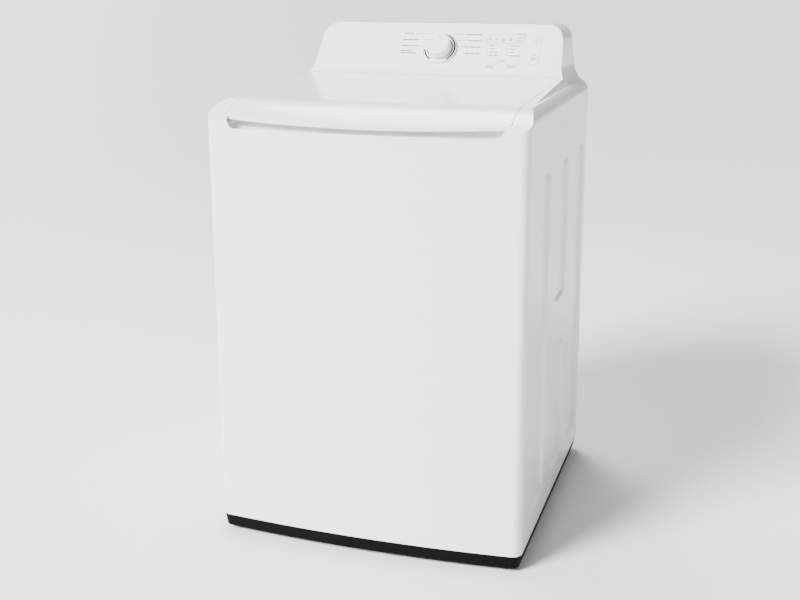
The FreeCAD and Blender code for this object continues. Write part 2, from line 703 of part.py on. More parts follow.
def dish_loft(lower):
    """The lid's shallow dish as a solid hanging from its surface, lower by `lower`."""
    wires = []
    for depth, shrink in ((-2.0, -0.25), (DISH_DEPTH + lower, 1.0 + lower / DISH_DEPTH)):
        x = DISH_X - DISH_SIDE_W * shrink
        y0 = DISH_FRONT_Y + DISH_FRONT_W * shrink
        y1 = DISH_REAR_Y - DISH_REAR_W * shrink
        grow = lower * 0.6 if depth > 0 else lower * 1.6
        wire = rounded_rect(-x - grow, x + grow, y0 - grow, y1 + grow, 46.0).OuterWire
        wire.rotate(vec(0, 0, 0), X_AXIS, math.degrees(SLOPE_ANGLE))
        wire.translate(vec(0, 0, deck_z(0.0, depth)))
        wires.append(wire)
    return Part.makeLoft(wires, True, True)


def lid_panel():
    depth = LID_EDGE_H
    y0 = FRONT_Y + LID_SETBACK - 5
    y1 = LID_REAR_Y + 5
    wall = LID_SKIN + 0.5
    lip = deck_band(0, LID_LIP_H, LID_HALF_W + 5, y0, y1).common(lid_plan(0))
    tray = deck_band(0, depth, LID_HALF_W + 5, y0, y1).common(lid_plan(0, LID_LIP_W))
    inside = deck_band(LID_SKIN, depth + 5, LID_HALF_W + 5, y0, y1).common(lid_plan(wall, LID_LIP_W + wall))
    shell = fuse([lip, tray]).cut(inside)
    dish = dish_loft(0.0)
    pan_skin = dish_loft(LID_SKIN).cut(dish).common(deck_band(0, depth, LID_HALF_W, y0, y1))
    body = fuse([shell.cut(dish_loft(LID_SKIN)), pan_skin])
    knuckles = []
    for s in (-1, 1):
        x0, x1 = sorted((s * (LID_HALF_W - 22), s * LID_HALF_W))
        knuckles.append(rod_x(HINGE_Y, HINGE_Z, x0, x1, KNUCKLE_R))
    body = fuse([body] + knuckles)
    bores = []
    for s in (-1, 1):
        x0, x1 = sorted((s * (LID_HALF_W - 18), s * (LID_HALF_W + 1)))
        bores.append(rod_x(HINGE_Y, HINGE_Z, x0, x1, PIN_R + RUN))
    save("lid_panel", cut_all(body, bores))


def lid_liner():
    y0 = FRONT_Y + LID_SETBACK - 5
    top = DISH_DEPTH + LID_SKIN + 3 * FIT
    plate = deck_band(top, LID_EDGE_H + 0.2, LID_HALF_W, y0, HINGE_Y - KNUCKLE_R - 6)
    rim = LID_SKIN + 0.5 + 2 * FIT
    plate = plate.common(lid_plan(rim, LID_LIP_W + rim))
    ribs = []
    for x in (-LINER_RIB_X, 0.0, LINER_RIB_X):
        rib = deck_band(LID_EDGE_H, LID_EDGE_H + LINER_RIB_H, 2.0, LINE_Y + 20, HINGE_Y - 60)
        ribs.append(rib.translated(vec(x, 0, 0)))
    save("lid_liner", fuse([plate] + ribs))


def lid_strike():
    """Hook under the lid, with a window for the lock's bolt and a foot on the liner."""
    z = deck_z(LOCK_Y, LID_EDGE_H)
    y0, y1 = LOCK_Y - STRIKE_D / 2, LOCK_Y + STRIKE_D / 2
    blade = box(LOCK_X - STRIKE_W / 2, LOCK_X + STRIKE_W / 2, y0, y1, z - STRIKE_H, z + STRIKE_FOOT_H)
    foot_x = STRIKE_W / 2 + STRIKE_FOOT_OUT
    foot = box(LOCK_X - foot_x, LOCK_X + foot_x, y0, y1, z - STRIKE_FOOT_H, z + STRIKE_FOOT_H)
    reach = BOLT_R + EYE_ROOM
    mid = lock_z()
    window = box(LOCK_X - foot_x, LOCK_X + foot_x, LOCK_Y - reach, LOCK_Y + reach, mid - reach, mid + reach)
    room = under_deck(LID_EDGE_H + 0.2 + FIT, BIG / 4, FRONT_Y, REAR_Y, SEAM_Z)
    save("lid_strike", fuse([blade, foot]).common(room).cut(window))


def hinge_pins():
    pins = []
    for s in (-1, 1):
        x0, x1 = sorted((s * (LID_HALF_W - 17.5), s * (POCKET_HALF + 7.0)))
        pins.append(rod_x(HINGE_Y, HINGE_Z, x0, x1, PIN_R))
    save("hinge_pins", *pins)


def panel_solid(face, v0_out, v1_out):
    """Extrudes a face drawn in (x, v) out of the console's front between two distances."""
    solid = face.extrude(vec(0, 0, v1_out - v0_out))
    solid.translate(vec(0, 0, v0_out))
    origin = panel_frame(0, 0)
    s, c = math.sin(TILT), math.cos(TILT)
    solid.transformShape(FreeCAD.Matrix(1, 0, 0, 0, 0, s, -c, origin.y, 0, c, s, origin.z, 0, 0, 0, 1))
    return solid


def panel_disc(x, v, r, out0, out1):
    face = Part.Face(Part.Wire(Part.Circle(vec(x, v, 0), Z_AXIS, r).toShape()))
    return panel_solid(face, out0, out1)


def panel_block(x0, x1, v0, v1, r, out0, out1):
    return panel_solid(rounded_rect(x0, x1, v0, v1, r), out0, out1)


PANEL_X = 284.0
PANEL_V0 = 11.4
PANEL_V1 = PANEL_TOP_V - 6.5
PANEL_R = 30.0
PANEL_T = 3.0


def top_cover():
    outer = cover_blank(0, SEAM_Z)
    inner = cover_blank(SHELL, SEAM_Z - 1)
    shell = outer.cut(inner)
    trim = plan_prism(0.3, SEAM_Z - 1, TOP_Z + 1)
    y1 = HINGE_Y + HINGE_SWING_R
    tray = under_deck(0, POCKET_HALF + SHELL, FRONT_Y, y1 + SHELL, SEAM_Z)
    tray = tray.cut(under_deck(POCKET_DEPTH + SHELL, BIG, FRONT_Y - 1, y1 + SHELL + 1, SEAM_Z - 1))
    trough = rod_x(HINGE_Y, HINGE_Z, -POCKET_HALF - SHELL, POCKET_HALF + SHELL, HINGE_SWING_R + SHELL)
    scoop_wall = scoop_solid(SHELL)
    skirt_face = rounded_rect(-MOUTH_HALF_X - SHELL, MOUTH_HALF_X + SHELL, MOUTH_FRONT_Y - SHELL,
                              MOUTH_REAR_Y + SHELL, MOUTH_CORNER + SHELL)
    skirt = skirt_face.extrude(vec(0, 0, CONSOLE_RISE)).translated(vec(0, 0, SEAM_Z - SKIRT_DROP))
    skirt = skirt.common(under_deck(POCKET_DEPTH, BIG / 4, FRONT_Y, REAR_Y, SEAM_Z - 60))
    blocks = []
    for s in (-1, 1):
        x0, x1 = sorted((s * POCKET_HALF, s * (POCKET_HALF + 10)))
        blocks.append(box(x0, x1, HINGE_Y - 14, HINGE_Y + 14, HINGE_Z - 14, HINGE_Z + 14))
    fill = fuse([tray, trough, scoop_wall] + blocks).common(outer).common(trim)
    body = fuse([shell, fill, skirt])
    pocket = deck_band(-60, POCKET_DEPTH, POCKET_HALF, FRONT_Y - 1, y1)
    pocket_plan = lid_plan(-LID_GAP).fuse(box(-POCKET_HALF, POCKET_HALF, HINGE_Y, y1, SEAM_Z, TOP_Z))
    pocket = pocket.common(pocket_plan)
    pocket = pocket.cut(console_keep(y1))
    swing = rod_x(HINGE_Y, HINGE_Z, -POCKET_HALF, POCKET_HALF, HINGE_SWING_R)
    mouth = rounded_rect(-MOUTH_HALF_X, MOUTH_HALF_X, MOUTH_FRONT_Y, MOUTH_REAR_Y, MOUTH_CORNER)
    mouth = mouth.extrude(vec(0, 0, CONSOLE_RISE)).translated(vec(0, 0, SEAM_Z - SKIRT_DROP - 1))
    mouth = mouth.common(under_deck(-1, BIG / 4, FRONT_Y, REAR_Y, SEAM_Z - 60))
    cuts = [pocket, swing.cut(console_keep(y1)), scoop_solid(0), mouth]
    for s in (-1, 1):
        x0, x1 = sorted((s * (POCKET_HALF - 1), s * (POCKET_HALF + 7.5)))
        cuts.append(rod_x(HINGE_Y, HINGE_Z, x0, x1, PIN_R + RUN))
    # slots for the lid's strike and the drawer's mouth
    cuts.append(box(LOCK_X - STRIKE_W / 2 - 2, LOCK_X + STRIKE_W / 2 + 2, LOCK_Y - STRIKE_D / 2 - 7,
                    LOCK_Y + STRIKE_D / 2 + 3, SEAM_Z, LINE_Z + 10))
    cuts.append(box(HOUSING_X0 + 2, HOUSING_X1 - 2, MOUTH_REAR_Y - 40, MOUTH_REAR_Y + SHELL + 1,
                    HOUSING_Z0 + 2, HOUSING_Z1 - 2))
    x, v0, v1 = PANEL_X + FIT, PANEL_V0 - FIT, PANEL_V1 + FIT
    cuts.append(panel_block(-x, x, v0, v1, PANEL_R, -SHELL - 2, 5))
    cuts.append(box(-REAR_OPEN_X, REAR_OPEN_X, REAR_Y - SHELL - 1, REAR_Y + 1, REAR_OPEN_Z0, REAR_OPEN_Z1))
    for x, z in console_screw_places():
        cuts.append(rod_y(x, z, REAR_Y - 9, REAR_Y + 1, SCREW_R + FIT))
    body = cut_all(body, cuts)
    solids = sorted(body.Solids, key=lambda part: part.Volume)
    save("top_cover", solids[-1])


def console_keep(y1):
    """The console's own volume, which the lid's pocket must not cut away."""
    foot = panel_frame(0, 0)
    z_cut = foot.z + (y1 - foot.y) / math.tan(TILT)
    return box(-BIG, BIG, y1, BIG, -BIG, BIG).fuse(box(-BIG, BIG, foot.y + 0.2, BIG, z_cut, BIG))


# ---- Dispenser -----------------------------------------------------------------------
HOUSING_X0 = -168.0
HOUSING_X1 = -28.0
HOUSING_LEN = 150.0
HOUSING_Z0 = SEAM_Z + 4.0
HOUSING_Z1 = SEAM_Z + 60.0
HOUSING_WALL = 2.5
DRAWER_GAP = 0.8
DRAWER_WALL = 2.0


def dispenser_housing():
    y0 = MOUTH_REAR_Y + SHELL + 0.3
    y1 = y0 + HOUSING_LEN
    w = HOUSING_WALL
    body = box(HOUSING_X0, HOUSING_X1, y0, y1, HOUSING_Z0, HOUSING_Z1)
    body = body.cut(box(HOUSING_X0 + w, HOUSING_X1 - w, y0 - 1, y1 - w, HOUSING_Z0 + w, HOUSING_Z1 - w))
    inlet = rod_y(HOUSING_X1 - 22, HOUSING_Z1 - 20, y1 - 1, y1 + 14, 9)
    body = fuse([body, inlet])
    slots = [box(HOUSING_X0 + 20, HOUSING_X1 - 20, y0 + 6, y0 + 16, HOUSING_Z0 - 1, HOUSING_Z0 + w + 1)]
    save("dispenser_housing", cut_all(body, slots))


def detergent_drawer():
    g = HOUSING_WALL + DRAWER_GAP
    x0, x1 = HOUSING_X0 + g, HOUSING_X1 - g
    z0, z1 = HOUSING_Z0 + g, HOUSING_Z1 - g - 3
    y0 = MOUTH_REAR_Y + 1.0
    y1 = y0 + HOUSING_LEN - 12
    w = DRAWER_WALL
    body = box(x0, x1, y0, y1, z0, z1)
    middle = (x0 + x1) / 2
    cells = [
        box(x0 + w, middle - w / 2, y0 + 3 * w, y1 - w, z0 + w, z1 + 1),
        box(middle + w / 2, x1 - w, y0 + 3 * w, y1 - w, z0 + w, z1 + 1),
    ]
    grip = rod_x(y0 - 2, z0 + 14, x0 + 30, x1 - 30, 6.5)
    save("detergent_drawer", cut_all(body, cells + [grip]))


# ---- Console insides ------------------------------------------------------------------
KNOB_X = 7.0
KNOB_V = 72.9
KNOB_R = 30.0
KNOB_OUT = 25.0
BEZEL_R = 41.0
BEZEL_OUT = 5.0
SPINDLE_R = 3.0
KEY_PROUD = 1.2
KEY_GAP = 0.4
KEY_TRAVEL = 1.2
KEYS = {
    "key_power": (225.0, 249.0, 88.4, 113.9, 4.0),
    "key_start": (224.0, 249.0, 35.4, 77.9, 4.0),
    "key_temperature": (125.0, 152.7, 34.9, 49.9, 3.0),
    "key_soil": (173.5, 201.2, 34.9, 49.9, 3.0),
}
DISPLAY = (119.0, 210.0, 91.4, 114.4, 3.0)
LED_COLUMNS = (122.0, 171.5)
LED_TOP_V = 84.9
LED_PITCH = 9.0
BOARD_DEPTH = 14.0
REAR_OPEN_X = 268.0
REAR_OPEN_Z0 = SEAM_Z + 22.0
REAR_OPEN_Z1 = TOP_Z - 24.0
VALVE_XS = (90.0, 150.0)
VALVE_Z = SEAM_Z + 52.0
VALVE_R = 13.2
VALVE_BORE_R = 9.0


def console_screw_places():
    places = []
    for x in (-REAR_OPEN_X - 6, -REAR_OPEN_X / 3, REAR_OPEN_X / 3, REAR_OPEN_X + 6):
        places.append((x, REAR_OPEN_Z0 - 6))
    for x in (-REAR_OPEN_X / 3, REAR_OPEN_X / 3):
        places.append((x, REAR_OPEN_Z1 + 6))
    return places


def control_panel():
    plate = panel_block(-PANEL_X, PANEL_X, PANEL_V0, PANEL_V1, PANEL_R, -PANEL_T, 0)
    out = PANEL_X + 4
    flange = panel_block(-out, out, PANEL_V0 - 4, PANEL_V1 + 1.5, PANEL_R, -PANEL_T - 2, -PANEL_T)
    flange = flange.common(cover_blank(SHELL + 0.2, SEAM_Z))
    posts = []
    for x in (-200.0, -90.0, 90.0, 215.0):
        for v in (PANEL_V0 + 12, PANEL_V1 - 10):
            posts.append(panel_disc(x, v, 4.0, -BOARD_DEPTH + 0.2, -PANEL_T - 1))
    inner = PANEL_X - 2
    v0, v1 = PANEL_V0 + 2, PANEL_V1 - 2
    joint = panel_block(-inner, inner, v0, v1, PANEL_R - 2, -PANEL_T - 1, -PANEL_T + 1)
    body = fuse([plate, flange, joint] + posts)
    cuts = [panel_disc(KNOB_X, KNOB_V, SPINDLE_R + 5, -20, 2)]
    cuts.append(panel_disc(KNOB_X, KNOB_V, BEZEL_R + 0.2, -1.0, 2))
    for x0, x1, v0, v1, r in KEYS.values():
        g = KEY_GAP
        cuts.append(panel_block(x0 - g, x1 + g, v0 - g, v1 + g, r + g, -20, 2))
    x0, x1, v0, v1, r = DISPLAY
    cuts.append(panel_block(x0, x1, v0, v1, r, -1.5, 2))
    for x in LED_COLUMNS:
        for n in range(4):
            cuts.append(panel_disc(x, LED_TOP_V - n * LED_PITCH, 1.8, -20, 2))
    save("control_panel", cut_all(body, cuts))


def indicator_window():
    x0, x1, v0, v1, r = DISPLAY
    window = panel_block(x0 + FIT, x1 - FIT, v0 + FIT, v1 - FIT, r, -1.45, 0.1)
    pipes = [
        panel_disc(x, LED_TOP_V - n * LED_PITCH, 1.7, -PANEL_T - 2, 0.2)
        for x in LED_COLUMNS for n in range(4)
    ]
    save("indicator_window", window, *pipes)


# chips and relays behind the board: left edge, foot, width, height and depth
BOARD_PARTS = ((-150, 40, 60, 34, 9), (-60, 70, 24, 24, 3), (60, 80, 30, 16, 8), (120, 105, 70, 10, 5))


def control_board():
    board = panel_block(-228, 258, PANEL_V0 + 7, PANEL_V1 - 5, 3.0, -BOARD_DEPTH - 1.6, -BOARD_DEPTH)
    chips = []
    for x, v, w, h, t in BOARD_PARTS:
        chips.append(panel_block(x, x + w, v, v + h, 1.0, -BOARD_DEPTH - 1.6 - t, -BOARD_DEPTH - 1.5))
    for x0, x1, v0, v1, _ in KEYS.values():
        x, v = (x0 + x1) / 2, (v0 + v1) / 2
        chips.append(panel_block(x - 3, x + 3, v - 3, v + 3, 0.5, -BOARD_DEPTH - 0.1, -BOARD_DEPTH + 3))
    body = fuse([board] + chips)
    save("control_board", body.cut(panel_disc(KNOB_X, KNOB_V, 9.4, -40, 0)))


def encoder():
    body = panel_disc(KNOB_X, KNOB_V, 9.0, -BOARD_DEPTH - 8, -PANEL_T - 2.25)
    neck = panel_disc(KNOB_X, KNOB_V, 6.5, -PANEL_T - 3, 2.0)
    save("encoder", fuse([body, neck]).cut(panel_disc(KNOB_X, KNOB_V, SPINDLE_R + RUN, -BOARD_DEPTH - 4, 5)))


def knob_bezel():
    base = panel_disc(KNOB_X, KNOB_V, BEZEL_R, -0.9, BEZEL_OUT)
    rim = [e for e in base.Edges if e.Closed and len(e.Vertexes) == 1]
    outer = [e for e in rim if (e.CenterOfMass - panel_frame(KNOB_X, KNOB_V, BEZEL_OUT)).Length < 1]
    base = base.makeFillet(2.2, outer)
    save("knob_bezel", base.cut(panel_disc(KNOB_X, KNOB_V, KNOB_R + 1.5, -2, 10)))


def knob():
    cap = Part.makeCone(KNOB_R, KNOB_R - 2.5, KNOB_OUT - 1.5)
    cap = cap.makeFillet(3.0, [e for e in cap.Edges if e.BoundBox.ZMin > KNOB_OUT - 2])
    hollow = Part.makeCone(KNOB_R - 2.5, KNOB_R - 4.5, KNOB_OUT - 5.0, vec(0, 0, -1))
    hub = Part.makeCylinder(7.0, KNOB_OUT - 8, vec(0, 0, 4.0))
    stem = Part.makeCylinder(SPINDLE_R, 26.0, vec(0, 0, -16.5))
    whole = fuse([cap.cut(hollow), hub, stem])
    origin = panel_frame(KNOB_X, KNOB_V, 1.5)
    s, c = math.sin(TILT), math.cos(TILT)
    whole.transformShape(FreeCAD.Matrix(1, 0, 0, origin.x, 0, s, -c, origin.y, 0, c, s, origin.z, 0, 0, 0, 1))
    save("knob", whole)


def keys():
    for name, (x0, x1, v0, v1, r) in KEYS.items():
        cap = panel_block(x0, x1, v0, v1, r, -PANEL_T - 2.5, KEY_PROUD)
        x, v = (x0 + x1) / 2, (v0 + v1) / 2
        stem = panel_block(x - 2, x + 2, v - 2, v + 2, 0.5, -BOARD_DEPTH + 3 + KEY_TRAVEL + 0.2, -PANEL_T - 2)
        save(name, fuse([cap, stem]))


def console_rear_cover():
    x = REAR_OPEN_X + 14
    plate = box(-x, x, REAR_Y, REAR_Y + REAR_COVER_T, REAR_OPEN_Z0 - 12, REAR_OPEN_Z1 + 12)
    out = REAR_OPEN_X - 1
    lip = box(-out, out, REAR_Y - 2, REAR_Y + 0.5, REAR_OPEN_Z0 + 1, REAR_OPEN_Z1 - 1)
    inner = REAR_OPEN_X - 3
    lip = lip.cut(box(-inner, inner, REAR_Y - 3, REAR_Y, REAR_OPEN_Z0 + 3, REAR_OPEN_Z1 - 3))
    cuts = [rod_y(vx, VALVE_Z, REAR_Y - 3, REAR_Y + 3, VALVE_R + NUT_ROOM) for vx in VALVE_XS]
    cuts += [rod_y(sx, sz, REAR_Y - 3, REAR_Y + 3, SCREW_R + FIT) for sx, sz in console_screw_places()]
    for n in range(5):
        z = TOP_Z - 70 + n * 7
        cuts.append(box(-210, -120, REAR_Y - 3, REAR_Y + 3, z, z + 3))
    save("console_rear_cover", cut_all(fuse([plate, lip]), cuts))


def inlet_valves():
    parts = []
    for x in VALVE_XS:
        parts.append(rod_y(x, VALVE_Z, REAR_Y - 20, REAR_Y - FIT, VALVE_R + 1.0))
        parts.append(rod_y(x, VALVE_Z, REAR_Y - 1, REAR_Y + THREAD_RELIEF, VALVE_R - 1.0))
        parts.append(rod_y(x, VALVE_Z, REAR_Y + THREAD_RELIEF, REAR_Y + REAR_PROUD, VALVE_R))
        parts.append(box(x - 17, x + 17, REAR_Y - 46, REAR_Y - 19, VALVE_Z - 17, VALVE_Z + 17))
        parts.append(rod(x, REAR_Y - 32, VALVE_Z + 16, VALVE_Z + 46, 13.0))
    x0, x1 = min(VALVE_XS), max(VALVE_XS)
    parts.append(box(x0 - 24, x1 + 24, REAR_Y - 2.6, REAR_Y - 0.3, VALVE_Z - 22, VALVE_Z + 22))
    parts.append(rod_x(REAR_Y - 32, VALVE_Z, x0 - 36, x1, 9.0))
    body = fuse(parts)
    cuts = [rod_y(x, VALVE_Z, REAR_Y - 12, REAR_Y + REAR_PROUD + 1, VALVE_BORE_R) for x in VALVE_XS]
    save("inlet_valves", cut_all(body, cuts))


def swept_pipe(points, r, bend):
    """Round pipe through the points, with rounded bends."""
    edges = []
    start = points[0]
    for a, b, c in zip(points, points[1:], points[2:]):
        into = (b - a).normalize()
        out = (c - b).normalize()
        half_turn = math.acos(max(-1.0, min(1.0, into.dot(out)))) / 2
        reach = bend * math.tan(half_turn)
        p = b - into * reach
        q = b + out * reach
        inward = (out - into).normalize()
        centre = b + inward * (bend / math.cos(half_turn))
        edges.append(Part.LineSegment(start, p).toShape())
        edges.append(Part.Arc(p, centre - inward * bend, q).toShape())
        start = q
    edges.append(Part.LineSegment(start, points[-1]).toShape())
    path = Part.Wire(edges)
    heading = (points[1] - points[0]).normalize()
    profile = Part.Wire(Part.Circle(points[0], heading, r).toShape())
    return path.makePipeShell([profile], True, True)


def fill_hose():
    y_valve = REAR_Y - 32
    x_end = HOUSING_X1 - 22
    y_end = MOUTH_REAR_Y + SHELL + HOUSING_LEN + 0.3 + 4.0
    z_end = HOUSING_Z1 - 20
    path = [
        vec(min(VALVE_XS) - 34, y_valve, VALVE_Z),
        vec(min(VALVE_XS) - 75, y_valve, VALVE_Z),
        vec(x_end + 30, y_end + 22, z_end),
        vec(x_end, y_end + 22, z_end),
        vec(x_end, y_end - 2, z_end),
    ]
    save("fill_hose", swept_pipe(path, 9.6, 10.5).cut(swept_pipe(path, 9.1, 10.5)))


def pressure_sensor():
    y = REAR_Y - 0.3
    body = fuse([
        rod_y(-60.0, TOP_Z - 60, y - 26, y, 24.0),
        rod_y(-60.0, TOP_Z - 60, y - 34, y - 25, 11.0),
        rod(-60.0, y - 14, TOP_Z - 96, TOP_Z - 80, 3.0),
    ])
    save("pressure_sensor", body)


# ---- Lid lock and bumpers --------------------------------------------------------------
def lock_z():
    return deck_z(LOCK_Y, LID_EDGE_H) - STRIKE_H + 8


def lid_lock():
    z = lock_z()
    top = deck_z(LOCK_Y - 22, POCKET_DEPTH + SHELL) - 0.3
    body = box(LOCK_X - 14, LOCK_X + 36, LOCK_Y - 22, LOCK_Y + 16, z - 16, top)
    slot = box(LOCK_X - STRIKE_W / 2 - 2, LOCK_X + STRIKE_W / 2 + 2, LOCK_Y - STRIKE_D / 2 - 7,
               LOCK_Y + STRIKE_D / 2 + 3, z - 11, top + 1)
    bore = rod_x(LOCK_Y, z, LOCK_X - 10, LOCK_X + 32, BOLT_R + RUN)
    save("lid_lock", body.cut(slot).cut(bore))


def lock_bolt():
    z = lock_z()
    x0 = LOCK_X + STRIKE_W / 2 + 1.5
    save("lock_bolt", rod_x(LOCK_Y, z, x0, x0 + 18, BOLT_R))


def lid_bumpers():
    bumpers = []
    for s in (-1, 1):
        base = deck_z(BUMPER_Y, POCKET_DEPTH) - 1.0
        top = deck_z(BUMPER_Y, LID_EDGE_H + 0.8)
        bumpers.append(Part.makeCylinder(BUMPER_R, 20.0, vec(s * BUMPER_X, BUMPER_Y, base), Z_AXIS).common(
            under_deck(LID_EDGE_H + 0.6, BIG / 4, FRONT_Y, REAR_Y, SEAM_Z)).cut(
            under_deck(POCKET_DEPTH, BIG / 4, FRONT_Y - 1, REAR_Y, SEAM_Z - 1)))
    save("lid_bumpers", *bumpers)


# ---- Tub -------------------------------------------------------------------------------
TUB_Z0 = BASE_TOP_Z + TUB_FLOOR_GAP
TUB_TOP = SEAM_Z - TUB_HEADROOM
ROD_R = 3.5
LUG_Z0 = TUB_Z0 + 75.0
LUG_H = 20.0
CUP_H = 34.0
SPRING_H = 78.0
SPRING_R = 15.0
SPRING_WIRE = 1.6
SPRING_TURNS = 8
HUB_R = 45.0
BEARING_R = 32.0
SPIN_R = 20.0
SHAFT_R = 8.0
SUMP_X = 150.0
SUMP_Y = 150.0
SUMP_R = 17.0
ROD_PLACES = [(sx * ROD_X, TUB_Y + sy * ROD_Y) for sx in (-1, 1) for sy in (-1, 1)]
BRACKET_Z = SEAM_Z - 46.0


def outer_tub():
    w = TUB_WALL
    wall = revolve([
        (BEARING_R, TUB_Z0 - 22), (HUB_R, TUB_Z0 - 22), (HUB_R, TUB_Z0), (TUB_R - 14, TUB_Z0),
        (TUB_R, TUB_Z0 + 12), (TUB_R, TUB_TOP - 12), (TUB_R + 5, TUB_TOP - 9), (TUB_R + 5, TUB_TOP),
        (TUB_R - w, TUB_TOP), (TUB_R - w, TUB_Z0 + 14), (TUB_R - 15, TUB_Z0 + w),
        (HUB_R, TUB_Z0 + w), (HUB_R - 4, TUB_Z0 + 29), (BEARING_R, TUB_Z0 + 29),
    ], 0, TUB_Y)
    adds = []
    tub_core = rod(0, TUB_Y, TUB_Z0, TUB_TOP, TUB_R - w / 2)
    for x, y in ROD_PLACES:
        reach = math.hypot(x, y - TUB_Y)
        ux, uy = x / reach, (y - TUB_Y) / reach
        arm = face_of([
            vec(ux * 200 - uy * 34, TUB_Y + uy * 200 + ux * 34, LUG_Z0),
            vec(ux * 200 + uy * 34, TUB_Y + uy * 200 - ux * 34, LUG_Z0),
            vec(x + uy * 20, y - ux * 20, LUG_Z0),
            vec(x - uy * 20, y + ux * 20, LUG_Z0),
        ]).extrude(vec(0, 0, LUG_H))
        lug = fuse([arm, rod(x, y, LUG_Z0, LUG_Z0 + LUG_H, 20.0)])
        adds.append(lug.cut(tub_core))
    ribs = []
    for a in range(0, 360, 30):
        rib = box(HUB_R - 2, TUB_R - 16, -1.6, 1.6, TUB_Z0 - 14, TUB_Z0 + 1)
        rib = rib.rotated(vec(0, 0, 0), Z_AXIS, a + 15).translated(vec(0, TUB_Y, 0))
        ribs.append(rib)
    adds.append(rod(SUMP_X, TUB_Y + SUMP_Y, TUB_Z0 - 30, TUB_Z0 + 1, SUMP_R))
    body = fuse([wall] + adds + ribs)
    cuts = [rod(x, y, LUG_Z0 - 1, LUG_Z0 + LUG_H + 1, ROD_R + 6) for x, y in ROD_PLACES]
    cuts.append(rod(SUMP_X, TUB_Y + SUMP_Y, TUB_Z0 - 31, TUB_Z0 + w + 1, SUMP_R - 3))
    for sx, sy in BRACKET_POSTS:
        cuts.append(rod(sx, TUB_Y + sy, TUB_Z0 - 16, TUB_Z0 - FIT, POST_R + FIT))
    save("outer_tub", cut_all(body, cuts))


def tub_cover():
    r_out = TUB_R + 9
    z = TUB_TOP
    body = revolve([
        (TUB_R + 5.3, z - 8), (r_out, z - 8), (r_out, z + 20), (r_out - 6, z + 26),
        (MOUTH_R, z + 26), (MOUTH_R, z + 10), (MOUTH_R + 3, z + 10), (MOUTH_R + 3, z + 23),
        (r_out - 7, z + 23), (r_out - 3, z + 18.5), (r_out - 3, z + 0.3), (TUB_R + 5.3, z + 0.3),
    ], 0, TUB_Y)
    save("tub_cover", body)


PLATE_X0 = -262.0
PLATE_X1 = 140.0
PLATE_HALF_Y = 118.0
PLATE_DROP = 38.0           # tub underside to the plate's top
PLATE_T = 4.0
POST_R = 9.0
BRACKET_POSTS = [(sx * 105.0, sy * 90.0) for sx in (-1, 1) for sy in (-1, 1)]
PLATE_Z1 = TUB_Z0 - PLATE_DROP
PLATE_Z0 = PLATE_Z1 - PLATE_T
GEAR_R = 70.0
GEAR_H = 82.0
MOTOR_X = -190.0
MOTOR_R = 62.0
MOTOR_H = 78.0
PULLEY_R = 110.0
MOTOR_PULLEY_R = 27.5
PULLEY_W = 20.0
PULLEY_Z1 = PLATE_Z0 - GEAR_H - 6.0
GROOVE = 4.0


def drive_bracket():
    plate = rounded_rect(PLATE_X0, PLATE_X1, TUB_Y - PLATE_HALF_Y, TUB_Y + PLATE_HALF_Y, 30)
    plate = plate.extrude(vec(0, 0, PLATE_T)).translated(vec(0, 0, PLATE_Z0))
    posts = [rod(sx, TUB_Y + sy, PLATE_Z0 + 1, TUB_Z0 - 0.3, POST_R) for sx, sy in BRACKET_POSTS]
    flanges = []
    for s in (-1, 1):
        y = TUB_Y + s * (PLATE_HALF_Y - 2)
        flanges.append(box(PLATE_X0 + 30, PLATE_X1 - 30, y - 2, y + 2, PLATE_Z0 - 14, PLATE_Z0 + 1))
    body = fuse([plate] + posts + flanges)
    cuts = [
        rod(0, TUB_Y, PLATE_Z0 - 1, PLATE_Z1 + 1, SPIN_R + 6),
        rod(MOTOR_X, TUB_Y, PLATE_Z0 - 1, PLATE_Z1 + 1, 22),
    ]
    save("drive_bracket", cut_all(body, cuts))


def gearcase():
    z1 = PLATE_Z0 - FIT
    z0 = z1 - GEAR_H + FIT
    body = fuse([rod(0, TUB_Y, z0 + 12, z1, GEAR_R), rod(0, TUB_Y, z0, z0 + 13, GEAR_R - 22)])
    cuts = [
        rod(0, TUB_Y, z1 - 22, z1 + 1, SPIN_R + RUN),
        rod(0, TUB_Y, z1 - 42, z1, SHAFT_R + RUN),
        rod(0, TUB_Y, z0 - 1, z0 + 28, 10.0 + RUN),
    ]
    save("gearcase", cut_all(body, cuts))


def tub_bearings():
    rings = [
        ring(0, TUB_Y, z, z + 14, BEARING_R - RUN, SPIN_R + RUN)
        for z in (TUB_Z0 - 21, TUB_Z0 + 13)
    ]
    save("tub_bearings", *rings)


def damper_cups():
    cups = []
    for x, y in ROD_PLACES:
        shell = rod(x, y, LUG_Z0 - CUP_H, LUG_Z0 - FIT, 19.0)
        cup = fuse([shell, rod(x, y, LUG_Z0 - 1, LUG_Z0 + LUG_H, ROD_R + 5.8)])
        cups.append(cup.cut(rod(x, y, 0, BIG, ROD_R + RUN)))
    save("damper_cups", *cups)


def motor_housing():
    z1 = PLATE_Z0 - FIT
    z0 = z1 - MOTOR_H
    body = rod(MOTOR_X, TUB_Y, z0, z1, MOTOR_R)
    body = body.makeChamfer(4.0, [e for e in body.Edges if e.Closed and e.BoundBox.ZMax < z0 + 1])
    fins = []
    for a in range(0, 360, 20):
        fin = box(MOTOR_R - 2, MOTOR_R + 3, -1.2, 1.2, z0 + 16, z1 - 10)
        fins.append(fin.rotated(vec(0, 0, 0), Z_AXIS, a).translated(vec(MOTOR_X, TUB_Y, 0)))
    cavity = rod(MOTOR_X, TUB_Y, z0 + 6, z1 - 6, MOTOR_R - 20)
    bore = rod(MOTOR_X, TUB_Y, z0 - 1, z1 - 3, 7.0 + RUN)
    save("motor_housing", fuse([body] + fins).cut(cavity).cut(bore))


